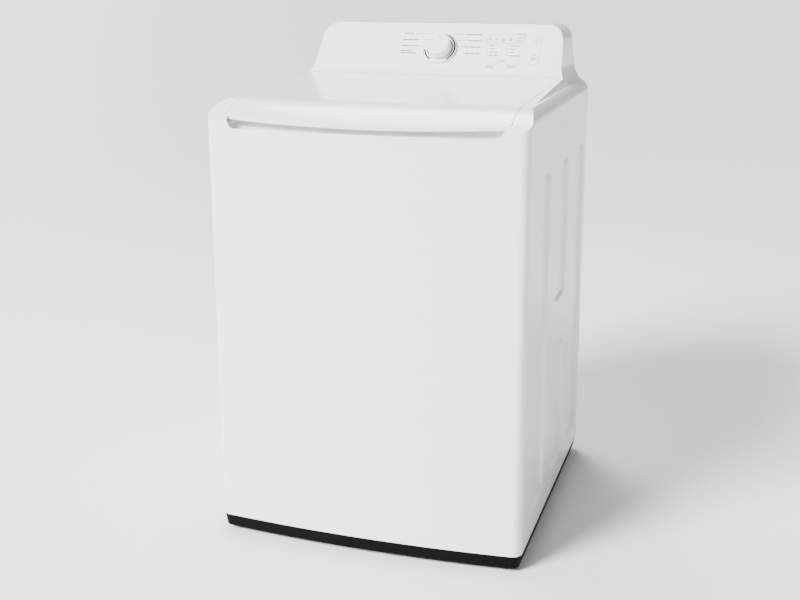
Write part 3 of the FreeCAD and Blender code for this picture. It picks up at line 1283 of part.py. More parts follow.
def grooved_pulley(x, y, z1, r, hub_r, spokes):
    z0 = z1 - PULLEY_W
    body = revolve([
        (0, z0), (r, z0), (r, z0 + 3), (r - GROOVE, z0 + 3.5),
        (r - GROOVE, z1 - 3.5), (r, z1 - 3), (r, z1), (0, z1),
    ], x, y)
    cuts = []
    if spokes:
        rim = ring(x, y, z0 - 1, z1 + 1, r - 14, hub_r)
        arms = []
        for a in range(0, 360, 360 // spokes):
            arm = box(0, r, -7, 7, z0 + 6, z1 - 6).rotated(vec(0, 0, 0), Z_AXIS, a)
            arms.append(arm.translated(vec(x, y, 0)))
        cuts = [rim.cut(Part.makeCompound(arms)) if len(arms) == 1 else rim.cut(fuse(arms))]
    return cut_all(body, cuts)


def motor_rotor():
    z1 = PLATE_Z0 - FIT
    z0 = z1 - MOTOR_H
    body = fuse([
        rod(MOTOR_X, TUB_Y, z0 + 8, z1 - 8, MOTOR_R - 21),
        rod(MOTOR_X, TUB_Y, PULLEY_Z1 - PULLEY_W - 3, z1 - 4, 7.0),
        grooved_pulley(MOTOR_X, TUB_Y, PULLEY_Z1, MOTOR_PULLEY_R, 10, 0),
    ])
    save("motor_rotor", body)


def drive_pulley():
    z0 = PLATE_Z0 - FIT - GEAR_H + FIT
    body = fuse([
        grooved_pulley(0, TUB_Y, PULLEY_Z1, PULLEY_R, 24, 5),
        rod(0, TUB_Y, PULLEY_Z1 - PULLEY_W, z0 + 26, 10.0),
    ])
    save("drive_pulley", body)


def drive_belt():
    z0, z1 = PULLEY_Z1 - PULLEY_W + 4.5, PULLEY_Z1 - 4.5

    def loop(extra):
        r1 = PULLEY_R - GROOVE + extra
        r2 = MOTOR_PULLEY_R - GROOVE + extra
        d = -MOTOR_X
        lean = math.acos((r1 - r2) / d)
        pts = []
        for r, x in ((r1, 0.0), (r2, MOTOR_X)):
            pts.append((x - r * math.cos(lean), r * math.sin(lean)))
        (ax, ay), (bx, by) = pts
        edges = [
            Part.Arc(vec(ax, ay, 0), vec(r1, 0, 0), vec(ax, -ay, 0)).toShape(),
            Part.LineSegment(vec(ax, -ay, 0), vec(bx, -by, 0)).toShape(),
            Part.Arc(vec(bx, -by, 0), vec(MOTOR_X - r2, 0, 0), vec(bx, by, 0)).toShape(),
            Part.LineSegment(vec(bx, by, 0), vec(ax, ay, 0)).toShape(),
        ]
        face = path_face(edges)
        face.translate(vec(0, TUB_Y, z0))
        return face.extrude(vec(0, 0, z1 - z0))

    save("drive_belt", loop(3.2).cut(loop(0.3)))


# ---- Suspension ------------------------------------------------------------------------
def corner_brackets():
    gap = SHEET + 2 * FIT
    blank = plan_prism(gap, BRACKET_Z, BRACKET_Z + 3.0)
    low = plan_prism(gap, BRACKET_Z - 18, BRACKET_Z + 1.0)
    low = low.cut(plan_prism(gap + 2.5, BRACKET_Z - 19, BRACKET_Z + 2))
    brackets = []
    for x, y in ROD_PLACES:
        sx, sy = (1 if x > 0 else -1), (1 if y > TUB_Y else -1)
        xs = sorted((x - sx * 26, sx * (HALF_W + 1)))
        ys = sorted((y - sy * 26, sy * BIG / 4))
        zone = box(xs[0], xs[1], ys[0], ys[1], 0, BIG)
        bracket = fuse([blank.common(zone), low.common(zone)])
        brackets.append(bracket.cut(rod(x, y, 0, BIG, 11.0)))
    save("corner_brackets", *brackets)


def suspension_rods():
    rods = []
    foot = LUG_Z0 - CUP_H - SPRING_H
    for x, y in ROD_PLACES:
        rods.append(fuse([
            rod(x, y, foot - 8, BRACKET_Z + 14, ROD_R),
            rod(x, y, foot - 5, foot - 2, 18.5),
            rod(x, y, BRACKET_Z + 9.3, BRACKET_Z + 14, 9.0),
        ]))
    save("suspension_rods", *rods)


def rod_sockets():
    sockets = []
    for x, y in ROD_PLACES:
        collar = rod(x, y, BRACKET_Z + 3.1, BRACKET_Z + 9, 14.0)
        socket = fuse([rod(x, y, BRACKET_Z - 5, BRACKET_Z + 4, 10.8), collar])
        sockets.append(socket.cut(rod(x, y, 0, BIG, ROD_R + 0.2)))
    save("rod_sockets", *sockets)


def suspension_springs():
    foot = LUG_Z0 - CUP_H - SPRING_H - 2 + SPRING_WIRE
    height = SPRING_H + 2 - 2 * SPRING_WIRE
    springs = []
    for x, y in ROD_PLACES:
        helix = Part.makeHelix(height / SPRING_TURNS, height, SPRING_R)
        helix.translate(vec(x, y, foot))
        profile = Part.Wire(Part.Circle(vec(x + SPRING_R, y, foot), Y_AXIS, SPRING_WIRE).toShape())
        springs.append(Part.Wire(helix.Edges).makePipeShell([profile], True, True))
    save("suspension_springs", *springs)


# ---- Basket and agitator ----------------------------------------------------------------
BASKET_Z0 = TUB_Z0 + 36.0
BASKET_TOP = TUB_TOP - 30.0
BASKET_WALL = 1.0
RING_TOP = TUB_TOP + 4.0
RING_H = 40.0
RING_W = 30.0               # the ring reaches in from the basket's wall by this
HUB_TOP = BASKET_Z0 + 22.0


def basket_drum():
    w = BASKET_WALL
    r = BASKET_R
    drum = revolve([
        (70, BASKET_Z0), (r - 14, BASKET_Z0), (r, BASKET_Z0 + 14), (r, BASKET_TOP), (r - w, BASKET_TOP),
        (r - w, BASKET_Z0 + 14 + w / 2), (r - 14 - w / 2, BASKET_Z0 + w), (70, BASKET_Z0 + w),
    ], 0, TUB_Y)
    save("basket_drum", drum)


def balance_ring():
    z0 = RING_TOP - RING_H
    r = BASKET_R + 6
    ring_in = BASKET_R - RING_W
    body = revolve([
        (BASKET_R - BASKET_WALL - 0.3, z0), (ring_in + 4, z0), (ring_in, z0 + 8), (ring_in, RING_TOP - 6),
        (ring_in + 6, RING_TOP), (r - 6, RING_TOP), (r, RING_TOP - 6), (r, z0 + 4), (BASKET_R + 0.3, z0 + 4),
        (BASKET_R + 0.3, BASKET_TOP + 0.3), (BASKET_R - BASKET_WALL - 0.3, BASKET_TOP + 0.3),
    ], 0, TUB_Y)
    save("balance_ring", body)


def basket_hub():
    body = revolve([
        (SPIN_R + RUN, BASKET_Z0 - 4), (34, BASKET_Z0 - 4), (80, BASKET_Z0 - 0.3), (69.7, BASKET_Z0 - 0.3),
        (69.7, BASKET_Z0 + 1.3), (90, BASKET_Z0 + 1.3), (60, BASKET_Z0 + 12),
        (34, HUB_TOP), (SPIN_R + RUN, HUB_TOP),
    ], 0, TUB_Y)
    save("basket_hub", body)


def spin_tube():
    z0 = PLATE_Z0 - FIT - 20
    save("spin_tube", ring(0, TUB_Y, z0, HUB_TOP - 1, SPIN_R, SHAFT_R + RUN))


def agitator_shaft():
    z0 = PLATE_Z0 - FIT - 40
    save("agitator_shaft", rod(0, TUB_Y, z0, HUB_TOP + 40, SHAFT_R))


AGITATOR_Z0 = HUB_TOP + 4.0
AGITATOR_TOP = AGITATOR_Z0 + AGITATOR_H
COLUMN_FOOT_R = 62.0
COLUMN_TOP_R = 44.0
CUP_DEPTH = 70.0


def agitator():
    z = AGITATOR_Z0
    top = AGITATOR_TOP
    shell = revolve([
        (COLUMN_TOP_R - 3, top), (COLUMN_TOP_R, top), (COLUMN_TOP_R + 3, z + 190), (COLUMN_FOOT_R, z + 70),
        (92, z + 34), (AGITATOR_R, z + 14), (AGITATOR_R, z), (AGITATOR_R - 3, z), (AGITATOR_R - 3, z + 11),
        (90, z + 31), (COLUMN_FOOT_R - 3, z + 68), (COLUMN_TOP_R, z + 188),
    ], 0, TUB_Y)
    fins = []
    blank = revolve([
        (0, z + 20), (0, z + 215), (COLUMN_TOP_R + 2, z + 215), (COLUMN_TOP_R + 34, z + 190),
        (COLUMN_FOOT_R + 46, z + 95), (AGITATOR_R - 12, z + 48), (AGITATOR_R - 2, z + 16),
    ], 0, TUB_Y)
    inside = revolve([
        (0, z - 1), (AGITATOR_R - 3, z - 1), (AGITATOR_R - 3, z + 11), (90, z + 31),
        (COLUMN_FOOT_R - 3, z + 68), (COLUMN_TOP_R, z + 188), (COLUMN_TOP_R - 3, top + 1), (0, top + 1),
    ], 0, TUB_Y)
    for a in (0, 90, 180, 270):
        fin = box(20, AGITATOR_R, -3.5, 3.5, z, top).rotated(vec(0, 0, 0), Z_AXIS, a + 45)
        fins.append(fin.translated(vec(0, TUB_Y, 0)).common(blank).cut(inside))
    for a in range(0, 360, 60):
        vane = box(COLUMN_TOP_R - 2, COLUMN_TOP_R + 14, -3, 3, z + 225, top - 22)
        vane = vane.rotated(vec(COLUMN_TOP_R, 0, z + 280), X_AXIS, 24).rotated(vec(0, 0, 0), Z_AXIS, a)
        fins.append(vane.translated(vec(0, TUB_Y, 0)).cut(inside))
    socket = ring(0, TUB_Y, z + 4, z + 62, 20, SHAFT_R + RUN)
    floor = rod(0, TUB_Y, z + 48, z + 54, COLUMN_FOOT_R + 14).common(inside)
    floor = floor.cut(rod(0, TUB_Y, z, z + 99, SHAFT_R + RUN))
    save("agitator", fuse([shell, socket, floor] + fins))


def softener_cup():
    top = AGITATOR_TOP
    r_in = COLUMN_TOP_R - 3 - 0.3
    body = revolve([
        (0, top - CUP_DEPTH), (r_in - 8, top - CUP_DEPTH), (r_in, top - CUP_DEPTH + 10), (r_in, top + 0.3),
        (COLUMN_TOP_R + 4, top + 0.3), (COLUMN_TOP_R + 4, top + 20), (COLUMN_TOP_R - 8, top + 34),
        (30, top + 36), (28, top + 30), (28, top - CUP_DEPTH + 14),
        (18, top - CUP_DEPTH + 3), (0, top - CUP_DEPTH + 3),
    ], 0, TUB_Y)
    save("softener_cup", body)


# ---- Pump and hoses ----------------------------------------------------------------------
PUMP_X = 185.0
PUMP_Y = 205.0
PUMP_R = 40.0
PUMP_Z0 = BASE_TOP_Z + FIT
VOLUTE_H = 46.0
HOSE_R = 11.0


def drain_pump():
    x, y, z = PUMP_X, PUMP_Y, PUMP_Z0
    feet_plate = rod(x, y, z, z + 6, PUMP_R)
    motor = rod(x, y, z + 5, z + 44, PUMP_R - 12)
    volute = rod(x, y, z + 43, z + 43 + VOLUTE_H, PUMP_R)
    inlet = rod(x, y, z + 42 + VOLUTE_H, z + 72 + VOLUTE_H, SUMP_R)
    outlet = rod_y(x + PUMP_R - HOSE_R, z + 62, y, y + PUMP_R + 22, HOSE_R)
    body = fuse([feet_plate, motor, volute, inlet, outlet])
    cuts = [
        rod(x, y, z + 47, z + 39 + VOLUTE_H, PUMP_R - 4),
        rod(x, y, z + 40 + VOLUTE_H - 3, z + 73 + VOLUTE_H, SUMP_R - 3),
        rod_y(x + PUMP_R - HOSE_R, z + 62, y, y + PUMP_R + 23, HOSE_R - 2.5),
        rod(x, y, z + 20, z + 48, 4.0 + RUN),
    ]
    save("drain_pump", cut_all(body, cuts))


def pump_impeller():
    x, y, z = PUMP_X, PUMP_Y, PUMP_Z0
    body = [rod(x, y, z + 24, z + 68, 4.0), rod(x, y, z + 50, z + 53, PUMP_R - 8)]
    for a in range(0, 360, 60):
        blade = box(3, PUMP_R - 9, -1.2, 1.2, z + 52, z + 68).rotated(vec(0, 0, 0), Z_AXIS, a)
        body.append(blade.translated(vec(x, y, 0)))
    save("pump_impeller", fuse(body))


def sump_hose():
    top = TUB_Z0 - 26.0
    foot = PUMP_Z0 + 60 + VOLUTE_H
    mid = (top + foot) / 2
    path = [
        vec(SUMP_X, TUB_Y + SUMP_Y, top),
        vec(SUMP_X, TUB_Y + SUMP_Y, mid + 8),
        vec(PUMP_X, PUMP_Y, mid - 8),
        vec(PUMP_X, PUMP_Y, foot),
    ]
    outer = swept_pipe(path, SUMP_R + 2.6, 24)
    save("sump_hose", outer.cut(swept_pipe(path, SUMP_R + 0.15, 24)))


def drain_hose():
    x = PUMP_X + PUMP_R - HOSE_R
    y_end = REAR_Y - 26
    z = PUMP_Z0 + 62
    path = [
        vec(x, PUMP_Y + PUMP_R + 6, z),
        vec(x, y_end - 20, z),
        vec(DRAIN_X, y_end - 20, z + 30),
        vec(DRAIN_X, y_end - 20, DRAIN_Z),
        vec(DRAIN_X, y_end + 16, DRAIN_Z),
    ]
    outer = swept_pipe(path, HOSE_R + 2.4, 17)
    save("drain_hose_inner", outer.cut(swept_pipe(path, HOSE_R + 0.15, 17)))


def drain_elbow():
    y1 = REAR_Y + REAR_PROUD
    body = fuse([
        rod_y(DRAIN_X, DRAIN_Z, REAR_Y - 24, REAR_Y - 3, HOSE_R),
        rod_y(DRAIN_X, DRAIN_Z, REAR_Y - 4, REAR_Y + THREAD_RELIEF, DRAIN_R - 1.0),
        rod_y(DRAIN_X, DRAIN_Z, REAR_Y + THREAD_RELIEF, y1, DRAIN_R - 0.2),
        rod_y(DRAIN_X, DRAIN_Z, REAR_Y - 5, REAR_Y - 0.3, DRAIN_R + 4),
    ])
    save("drain_spigot", body.cut(rod_y(DRAIN_X, DRAIN_Z, 0, BIG, HOSE_R - 2.5)))


# ---- Build -------------------------------------------------------------------------------
def build():
    os.makedirs("parts", exist_ok=True)
    base_frame(PUMP_X, PUMP_Y)
    feet()
    cabinet_wrap(rear_screw_places())
    rear_panel()
    service_cover()
    panel_screws()
    cord_gland()
    top_cover()
    lid_panel()
    lid_liner()
    lid_strike()
    hinge_pins()
    dispenser_housing()
    detergent_drawer()
    control_panel()
    indicator_window()
    control_board()
    encoder()
    knob_bezel()
    knob()
    keys()
    console_rear_cover()
    inlet_valves()
    fill_hose()
    pressure_sensor()
    lid_lock()
    lock_bolt()
    lid_bumpers()
    outer_tub()
    tub_cover()
    drive_bracket()
    gearcase()
    tub_bearings()
    damper_cups()
    motor_housing()
    motor_rotor()
    drive_pulley()
    drive_belt()
    corner_brackets()
    suspension_rods()
    rod_sockets()
    suspension_springs()
    basket_drum()
    balance_ring()
    basket_hub()
    spin_tube()
    agitator_shaft()
    agitator()
    softener_cup()
    drain_pump()
    pump_impeller()
    sump_hose()
    drain_hose()
    drain_elbow()


build()
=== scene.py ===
"""Looks of a top load washing machine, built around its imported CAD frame."""

import json
import logging
import math
from dataclasses import dataclass, field
from enum import Enum

import bmesh
import bpy
from mathutils import Matrix, Vector


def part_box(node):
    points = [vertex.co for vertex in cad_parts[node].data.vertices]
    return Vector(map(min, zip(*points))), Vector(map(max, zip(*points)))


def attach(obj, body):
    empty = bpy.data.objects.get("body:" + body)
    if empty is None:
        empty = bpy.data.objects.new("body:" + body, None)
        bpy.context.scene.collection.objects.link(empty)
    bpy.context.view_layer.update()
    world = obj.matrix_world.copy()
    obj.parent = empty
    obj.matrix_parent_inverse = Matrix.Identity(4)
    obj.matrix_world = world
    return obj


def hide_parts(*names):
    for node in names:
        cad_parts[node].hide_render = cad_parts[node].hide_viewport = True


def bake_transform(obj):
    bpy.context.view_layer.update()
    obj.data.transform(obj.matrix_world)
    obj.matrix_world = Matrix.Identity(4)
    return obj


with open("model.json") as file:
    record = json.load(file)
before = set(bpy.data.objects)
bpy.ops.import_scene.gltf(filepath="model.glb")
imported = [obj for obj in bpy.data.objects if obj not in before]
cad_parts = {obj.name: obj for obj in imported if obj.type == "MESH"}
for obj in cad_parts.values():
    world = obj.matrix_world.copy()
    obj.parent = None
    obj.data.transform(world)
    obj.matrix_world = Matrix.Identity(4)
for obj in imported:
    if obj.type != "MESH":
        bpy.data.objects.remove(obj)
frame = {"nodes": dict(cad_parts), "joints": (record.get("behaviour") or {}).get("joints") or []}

LOG = logging.getLogger("washer")
MM = 0.001
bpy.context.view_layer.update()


# ---- Finishes ------------------------------------------------------------------------
class Grain(Enum):
    """How a surface was made, which sets the relief that its material draws."""

    ENAMEL = "sprayed and baked, a faint orange peel"
    GLOSS_MOULDED = "moulded against a polished tool"
    SPARK_MOULDED = "moulded against a spark-eroded tool"
    ROLLED = "cold rolled sheet with spangle"
    SPUN = "spun or polished in rings"
    CAST = "die cast, a sandy skin"
    RUBBER = "pressed rubber, slightly bloomed"
    PRINTED = "ink or lacquer"


@dataclass(frozen=True)
class Relief:
    """Relief and variation of one grain.

    Attributes:
        size_mm: spacing of the pattern.
        height_mm: depth of the bump.
        stretch: scale of the pattern along X, Y and Z.
        blotch: share by which the colour drifts over the surface.
        sheen_drift: how far the roughness drifts either way.
    """

    size_mm: float
    height_mm: float
    stretch: tuple[float, float, float]
    blotch: float
    sheen_drift: float


# the enamel's peel and the moulded grain are drawn coarser than life, so that they show
RELIEFS: dict[Grain, Relief] = {
    Grain.ENAMEL: Relief(3.5, 0.012, (1, 1, 1), 0.012, 0.03),
    Grain.GLOSS_MOULDED: Relief(6.0, 0.010, (1, 1, 1), 0.012, 0.03),
    Grain.SPARK_MOULDED: Relief(1.2, 0.05, (1, 1, 1), 0.05, 0.05),
    Grain.ROLLED: Relief(14.0, 0.02, (1, 1, 1), 0.14, 0.09),
    Grain.SPUN: Relief(1.0, 0.012, (0.04, 0.04, 1.0), 0.06, 0.06),
    Grain.CAST: Relief(1.6, 0.12, (1, 1, 1), 0.12, 0.08),
    Grain.RUBBER: Relief(2.4, 0.05, (1, 1, 1), 0.2, 0.08),
    Grain.PRINTED: Relief(1.5, 0.004, (1, 1, 1), 0.02, 0.02),
}


@dataclass(frozen=True)
class Finish:
    """One real material and its finish.

    Attributes:
        name: what the material is.
        colour: its sRGB hex value.
        roughness: typical roughness of the surface.
        grain: how it was made.
        metallic: 1 for bare metal.
        ior: refractive index of a plastic or lacquer.
        coat: weight of a clear coat.
        clear: share of light let through.
        mirror: level of its dielectric reflection, 0.5 for a clean smooth skin.
        glow: strength of its own light, in the same colour.
    """

    name: str
    colour: str
    roughness: float
    grain: Grain
    metallic: float = 0.0
    ior: float = 1.5
    coat: float = 0.0
    clear: float = 0.0
    mirror: float = 0.5
    glow: float = 0.0


# baked polyester enamel on steel: hard gloss with a faint peel
ENAMEL_WHITE = Finish("white_baked_enamel", "EEEFF0", 0.28, Grain.ENAMEL, ior=1.52, coat=0.35)
# glossy ABS, which reads a little softer than the enamel beside it
ABS_WHITE = Finish("white_gloss_abs", "ECEDEF", 0.24, Grain.GLOSS_MOULDED, ior=1.54, coat=0.2)
# in-mould film of the control panel, satin so that the print can be read
PANEL_FILM = Finish("satin_panel_film", "EBECEE", 0.38, Grain.GLOSS_MOULDED, ior=1.5)
KEY_ABS = Finish("white_key_abs", "F0F1F2", 0.3, Grain.GLOSS_MOULDED, ior=1.54)
# the matt eroded skin of the base scatters most of what it would mirror
POLYPROPYLENE_BLACK = Finish("black_polypropylene", "060707", 0.6, Grain.SPARK_MOULDED, ior=1.49, mirror=0.06)
POLYPROPYLENE_GREY = Finish("grey_polypropylene", "9A9DA0", 0.45, Grain.SPARK_MOULDED, ior=1.49)
TUB_POLYPROPYLENE = Finish("filled_tub_polypropylene", "C9CBCB", 0.5, Grain.SPARK_MOULDED, ior=1.49)
AGITATOR_POLYPROPYLENE = Finish("agitator_polypropylene", "DDE1E6", 0.3, Grain.GLOSS_MOULDED, ior=1.49)
SOFTENER_BLUE = Finish("blue_cap_polypropylene", "7E9DC2", 0.3, Grain.GLOSS_MOULDED, ior=1.49)
# lacquered ring around the knob
SATIN_RING = Finish("satin_silver_lacquer", "E2E4E7", 0.3, Grain.GLOSS_MOULDED, ior=1.5, coat=0.3)
CHROME = Finish("chromed_ring", "D8DADD", 0.08, Grain.SPUN, metallic=1.0)
# opal acrylic, so that the lamps behind it don't show until they are lit
LENS = Finish("opal_acrylic_lens", "EFF0F2", 0.2, Grain.GLOSS_MOULDED, ior=1.49, clear=0.06)
GALVANISED = Finish("galvanised_sheet", "A9ADB0", 0.42, Grain.ROLLED, metallic=1.0)
ZINC = Finish("zinc_plated_fastener", "B9B8AE", 0.35, Grain.CAST, metallic=1.0)
STAINLESS = Finish("polished_stainless_basket", "C6C8CA", 0.24, Grain.SPUN, metallic=1.0)
GROUND_STEEL = Finish("ground_shaft_steel", "B3B6B9", 0.2, Grain.SPUN, metallic=1.0)
CAST_ALUMINIUM = Finish("die_cast_aluminium", "A8AAAC", 0.48, Grain.CAST, metallic=1.0)
EPDM = Finish("black_epdm_rubber", "1B1B1C", 0.68, Grain.RUBBER, ior=1.52)
BOARD = Finish("green_solder_mask", "1E5C36", 0.35, Grain.GLOSS_MOULDED, ior=1.5)
VALVE_NYLON = Finish("blue_valve_nylon", "47699C", 0.4, Grain.SPARK_MOULDED, ior=1.53)
MOTOR_PAINT = Finish("black_motor_lacquer", "222326", 0.4, Grain.CAST, ior=1.5)
# screen inks dry matt, so they stay dark under the lights
INK_GREY = Finish("dark_grey_ink", "1B1C1F", 0.6, Grain.PRINTED, mirror=0.1)
INK_FINE = Finish("fine_grey_ink", "3C3E42", 0.6, Grain.PRINTED, mirror=0.1)
INLAY_BLACK = Finish("matt_black_inlay", "060607", 0.6, Grain.PRINTED, mirror=0.06)
LAMP_RED = Finish("lit_red_lamp", "C4121C", 0.3, Grain.PRINTED, glow=0.6)
LABEL_SILVER = Finish("silver_label_film", "C4C6C8", 0.35, Grain.PRINTED)
FLOOR = Finish("pale_floor", "F4F4F5", 0.55, Grain.SPARK_MOULDED)


def linear(hex_colour: str) -> tuple[float, float, float, float]:
    """Turns an sRGB hex value to linear light.

    Args:
        hex_colour: six hex digits.

    Returns:
        Red, green, blue and an alpha of 1.
    """
    parts = [int(hex_colour[i:i + 2], 16) / 255 for i in (0, 2, 4)]
    made = [p / 12.92 if p <= 0.04045 else ((p + 0.055) / 1.055) ** 2.4 for p in parts]
    return (made[0], made[1], made[2], 1.0)


def add_node(
    tree: bpy.types.NodeTree, kind: str, settings: dict | None = None, links: dict | None = None
) -> bpy.types.Node:
    """Adds a shader node with its settings and links.

    Args:
        tree: the material's tree.
        kind: the node's type name.
        settings: property names, or input names and indices, to values.
        links: input names or indices to the output sockets that feed them.

    Returns:
        The new node.
    """
    node = tree.nodes.new(kind)
    for key, value in (settings or {}).items():
        if isinstance(key, str) and hasattr(node, key):
            setattr(node, key, value)
        else:
            node.inputs[key].default_value = value
    for key, socket in (links or {}).items():
        tree.links.new(socket, node.inputs[key])
    return node


# A finish's tint drifts over this many grains.
DRIFT_GRAINS = 14
LEAST_ROUGHNESS = 0.02
BUMP_STRENGTH = 0.5
COAT_ROUGHNESS = 0.1


class FinishShop:
    """Makes each finish's material once."""

    def __init__(self) -> None:
        """Starts with no materials."""
        self.made: dict[str, bpy.types.Material] = {}

    def material(self, finish: Finish) -> bpy.types.Material:
        """Returns the finish's material, made at its first use.

        Args:
            finish: the finish wanted.

        Returns:
            Its material.
        """
        if finish.name not in self.made:
            self.made[finish.name] = self._mix(finish)
        return self.made[finish.name]

    def _mix(self, finish: Finish) -> bpy.types.Material:
        """Builds a finish's nodes.

        Args:
            finish: the finish wanted.

        Returns:
            A new material.
        """
        relief = RELIEFS[finish.grain]
        material = bpy.data.materials.new(finish.name)
        material.use_nodes = True
        tree = material.node_tree
        tree.nodes.clear()
        place = add_node(tree, "ShaderNodeTexCoord")
        grain_map = add_node(
            tree, "ShaderNodeMapping", {"Scale": relief.stretch}, {0: place.outputs["Object"]},
        )
        per_metre = 1 / (relief.size_mm * MM)
        grain = add_node(
            tree, "ShaderNodeTexNoise",
            {"Scale": per_metre, "Detail": 3.0, "Roughness": 0.55}, {"Vector": grain_map.outputs[0]},
        )
        drift = add_node(
            tree, "ShaderNodeTexNoise",
            {"Scale": per_metre / DRIFT_GRAINS, "Detail": 2.0}, {"Vector": place.outputs["Object"]},
        )
        base = linear(finish.colour)
        shade = 1 - relief.blotch
        darker = (base[0] * shade, base[1] * shade, base[2] * shade, 1.0)
        colour = add_node(
            tree, "ShaderNodeMix", {"data_type": "RGBA", 6: base, 7: darker}, {0: drift.outputs[0]},
        )
        rough = add_node(
            tree, "ShaderNodeMapRange",
            {
                "To Min": max(finish.roughness - relief.sheen_drift, LEAST_ROUGHNESS),
                "To Max": finish.roughness + relief.sheen_drift,
            },
            {"Value": grain.outputs[0]},
        )
        bump = add_node(
            tree, "ShaderNodeBump",
            {"Strength": BUMP_STRENGTH, "Distance": relief.height_mm * MM}, {"Height": grain.outputs[0]},
        )
        settings = {
            "Metallic": finish.metallic,
            "Coat Weight": finish.coat,
            "Coat Roughness": COAT_ROUGHNESS,
            "Transmission Weight": finish.clear,
            "Specular IOR Level": finish.mirror,
        }
        if finish.metallic == 0:
            settings["IOR"] = finish.ior
        if finish.glow > 0:
            settings["Emission Color"] = base
            settings["Emission Strength"] = finish.glow
        shader = add_node(
            tree, "ShaderNodeBsdfPrincipled", settings,
            {"Base Color": colour.outputs[2], "Roughness": rough.outputs[0], "Normal": bump.outputs[0]},
        )
        add_node(tree, "ShaderNodeOutputMaterial", {}, {"Surface": shader.outputs[0]})
        return material


SHOP = FinishShop()


# ---- Making pieces ---------------------------------------------------------------------
SHARP_TURN = math.radians(32)


def new_piece(
    name: str, mesh_data: bmesh.types.BMesh, finish: Finish, body: str | None
) -> bpy.types.Object:
    """Turns a bmesh to a piece that rides on a body.

    Args:
        name: the piece's name.
        mesh_data: its mesh, freed here.
        finish: its finish.
        body: the CAD body it rides on, or None for a piece that rides on no body.

    Returns:
        The new object, at the origin.
    """
    mesh = bpy.data.meshes.new(name)
    mesh_data.to_mesh(mesh)
    mesh_data.free()
    piece = bpy.data.objects.new(name, mesh)
    bpy.context.scene.collection.objects.link(piece)
    mesh.materials.append(SHOP.material(finish))
    for face in mesh.polygons:
        face.use_smooth = True
    if body is not None:
        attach(piece, body)
    LOG.info("piece %s: %d faces on %s", name, len(mesh.polygons), body)
    return piece


def mark_sharp(mesh_data: bmesh.types.BMesh, turn: float = SHARP_TURN) -> None:
    """Marks the edges where faces turn by more than an angle.

    Args:
        mesh_data: the mesh, changed in place.
        turn: the angle in radians.
    """
    for edge in mesh_data.edges:
        edge.smooth = len(edge.link_faces) == 2 and edge.calc_face_angle(0.0) < turn


def soften(piece: bpy.types.Object, radius_mm: float, segments: int = 2) -> None:
    """Rounds a piece's sharp edges and evens its shading.

    Args:
        piece: the piece.
        radius_mm: width of the rounding.
        segments: faces across it.
    """
    bevel = piece.modifiers.new("edge_radius", "BEVEL")
    bevel.width = radius_mm * MM
    bevel.segments = segments
    bevel.limit_method = "ANGLE"
    bevel.angle_limit = SHARP_TURN
    bevel.harden_normals = True
    bevel.use_clamp_overlap = True
    even = piece.modifiers.new("even_shading", "WEIGHTED_NORMAL")
    even.keep_sharp = True


def refine(
    node: str, body: str | None, finish: Finish, radius_mm: float, segments: int = 2, flat_turn: float = 0.4
) -> bpy.types.Object:
    """Makes a clean, round-edged piece from a CAD node and hides the node.

    Args:
        node: the CAD node.
        body: the body it belongs to, or None for a piece that rides on no body.
        finish: its finish.
        radius_mm: rounding of its sharp edges, or 0 for none.
        segments: faces across the rounding.
        flat_turn: faces that turn by less than this many degrees become one.

    Returns:
        The new piece.
    """
    source = frame["nodes"][node]
    shape = bmesh.new()
    shape.from_mesh(source.data)
    bmesh.ops.remove_doubles(shape, verts=shape.verts, dist=2e-6)
    bmesh.ops.dissolve_limit(
        shape, angle_limit=math.radians(flat_turn), verts=shape.verts, edges=shape.edges, delimit=set()
    )
    mark_sharp(shape)
    piece = new_piece(node + "_finished", shape, finish, body)
    if radius_mm > 0:
        soften(piece, radius_mm, segments)
    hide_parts(node)
    return piece


def add_box(shape: bmesh.types.BMesh, low: Vector, high: Vector, radius: float = 0.0) -> list:
    """Adds a box between two corners, with rounded edges if a radius is given.

    Args:
        shape: the mesh it joins.
        low: its lowest corner.
        high: its highest corner.
        radius: rounding of its edges.

    Returns:
        Its vertices.
    """
    size = high - low
    place = Matrix.Translation((low + high) / 2) @ Matrix.Diagonal((*size, 1.0))
    verts = bmesh.ops.create_cube(shape, size=1.0, matrix=place)["verts"]
    if radius > 0:
        edges = list({e for v in verts for e in v.link_edges})
        made = bmesh.ops.bevel(
            shape, geom=edges, offset=radius, segments=3, profile=0.5, affect="EDGES", material=-1
        )
        verts = made["verts"]
    return verts


def add_turned(
    shape: bmesh.types.BMesh, outline: list[tuple[float, float]], steps: int, closed: bool
) -> list:
    """Spins an outline of (radius, height) points about Z.

    Args:
        shape: the mesh it joins.
        outline: the points, from one end to the other.
        steps: faces around.
        closed: whether the outline's ends meet.

    Returns:
        The new geometry.
    """
    verts = [shape.verts.new((r, 0.0, z)) for r, z in outline]
    pairs = list(zip(verts, verts[1:] + verts[:1])) if closed else list(zip(verts, verts[1:]))
    edges = [shape.edges.new(pair) for pair in pairs]
    made = bmesh.ops.spin(
        shape, geom=verts + edges, cent=(0, 0, 0), axis=(0, 0, 1), angle=2 * math.pi,
        steps=steps, use_merge=True,
    )
    bmesh.ops.remove_doubles(shape, verts=shape.verts, dist=1e-6)
    bmesh.ops.recalc_face_normals(shape, faces=shape.faces)
    return made["geom_last"]


def knob_plane() -> Matrix:
    """Finds the knob's own plane, X across, Y up the slope and Z out of the panel.

    Returns:
        The matrix from that plane to the frame.
    """
    joint = next(j for j in frame["joints"] if j["name"] == "knob_turn")
    out = Vector(joint["axis"]).normalized()
    across = Vector((1, 0, 0))
    turn = Matrix((across, out.cross(across), out)).transposed()
    return Matrix.Translation(Vector(joint["pos_m"])) @ turn.to_4x4()


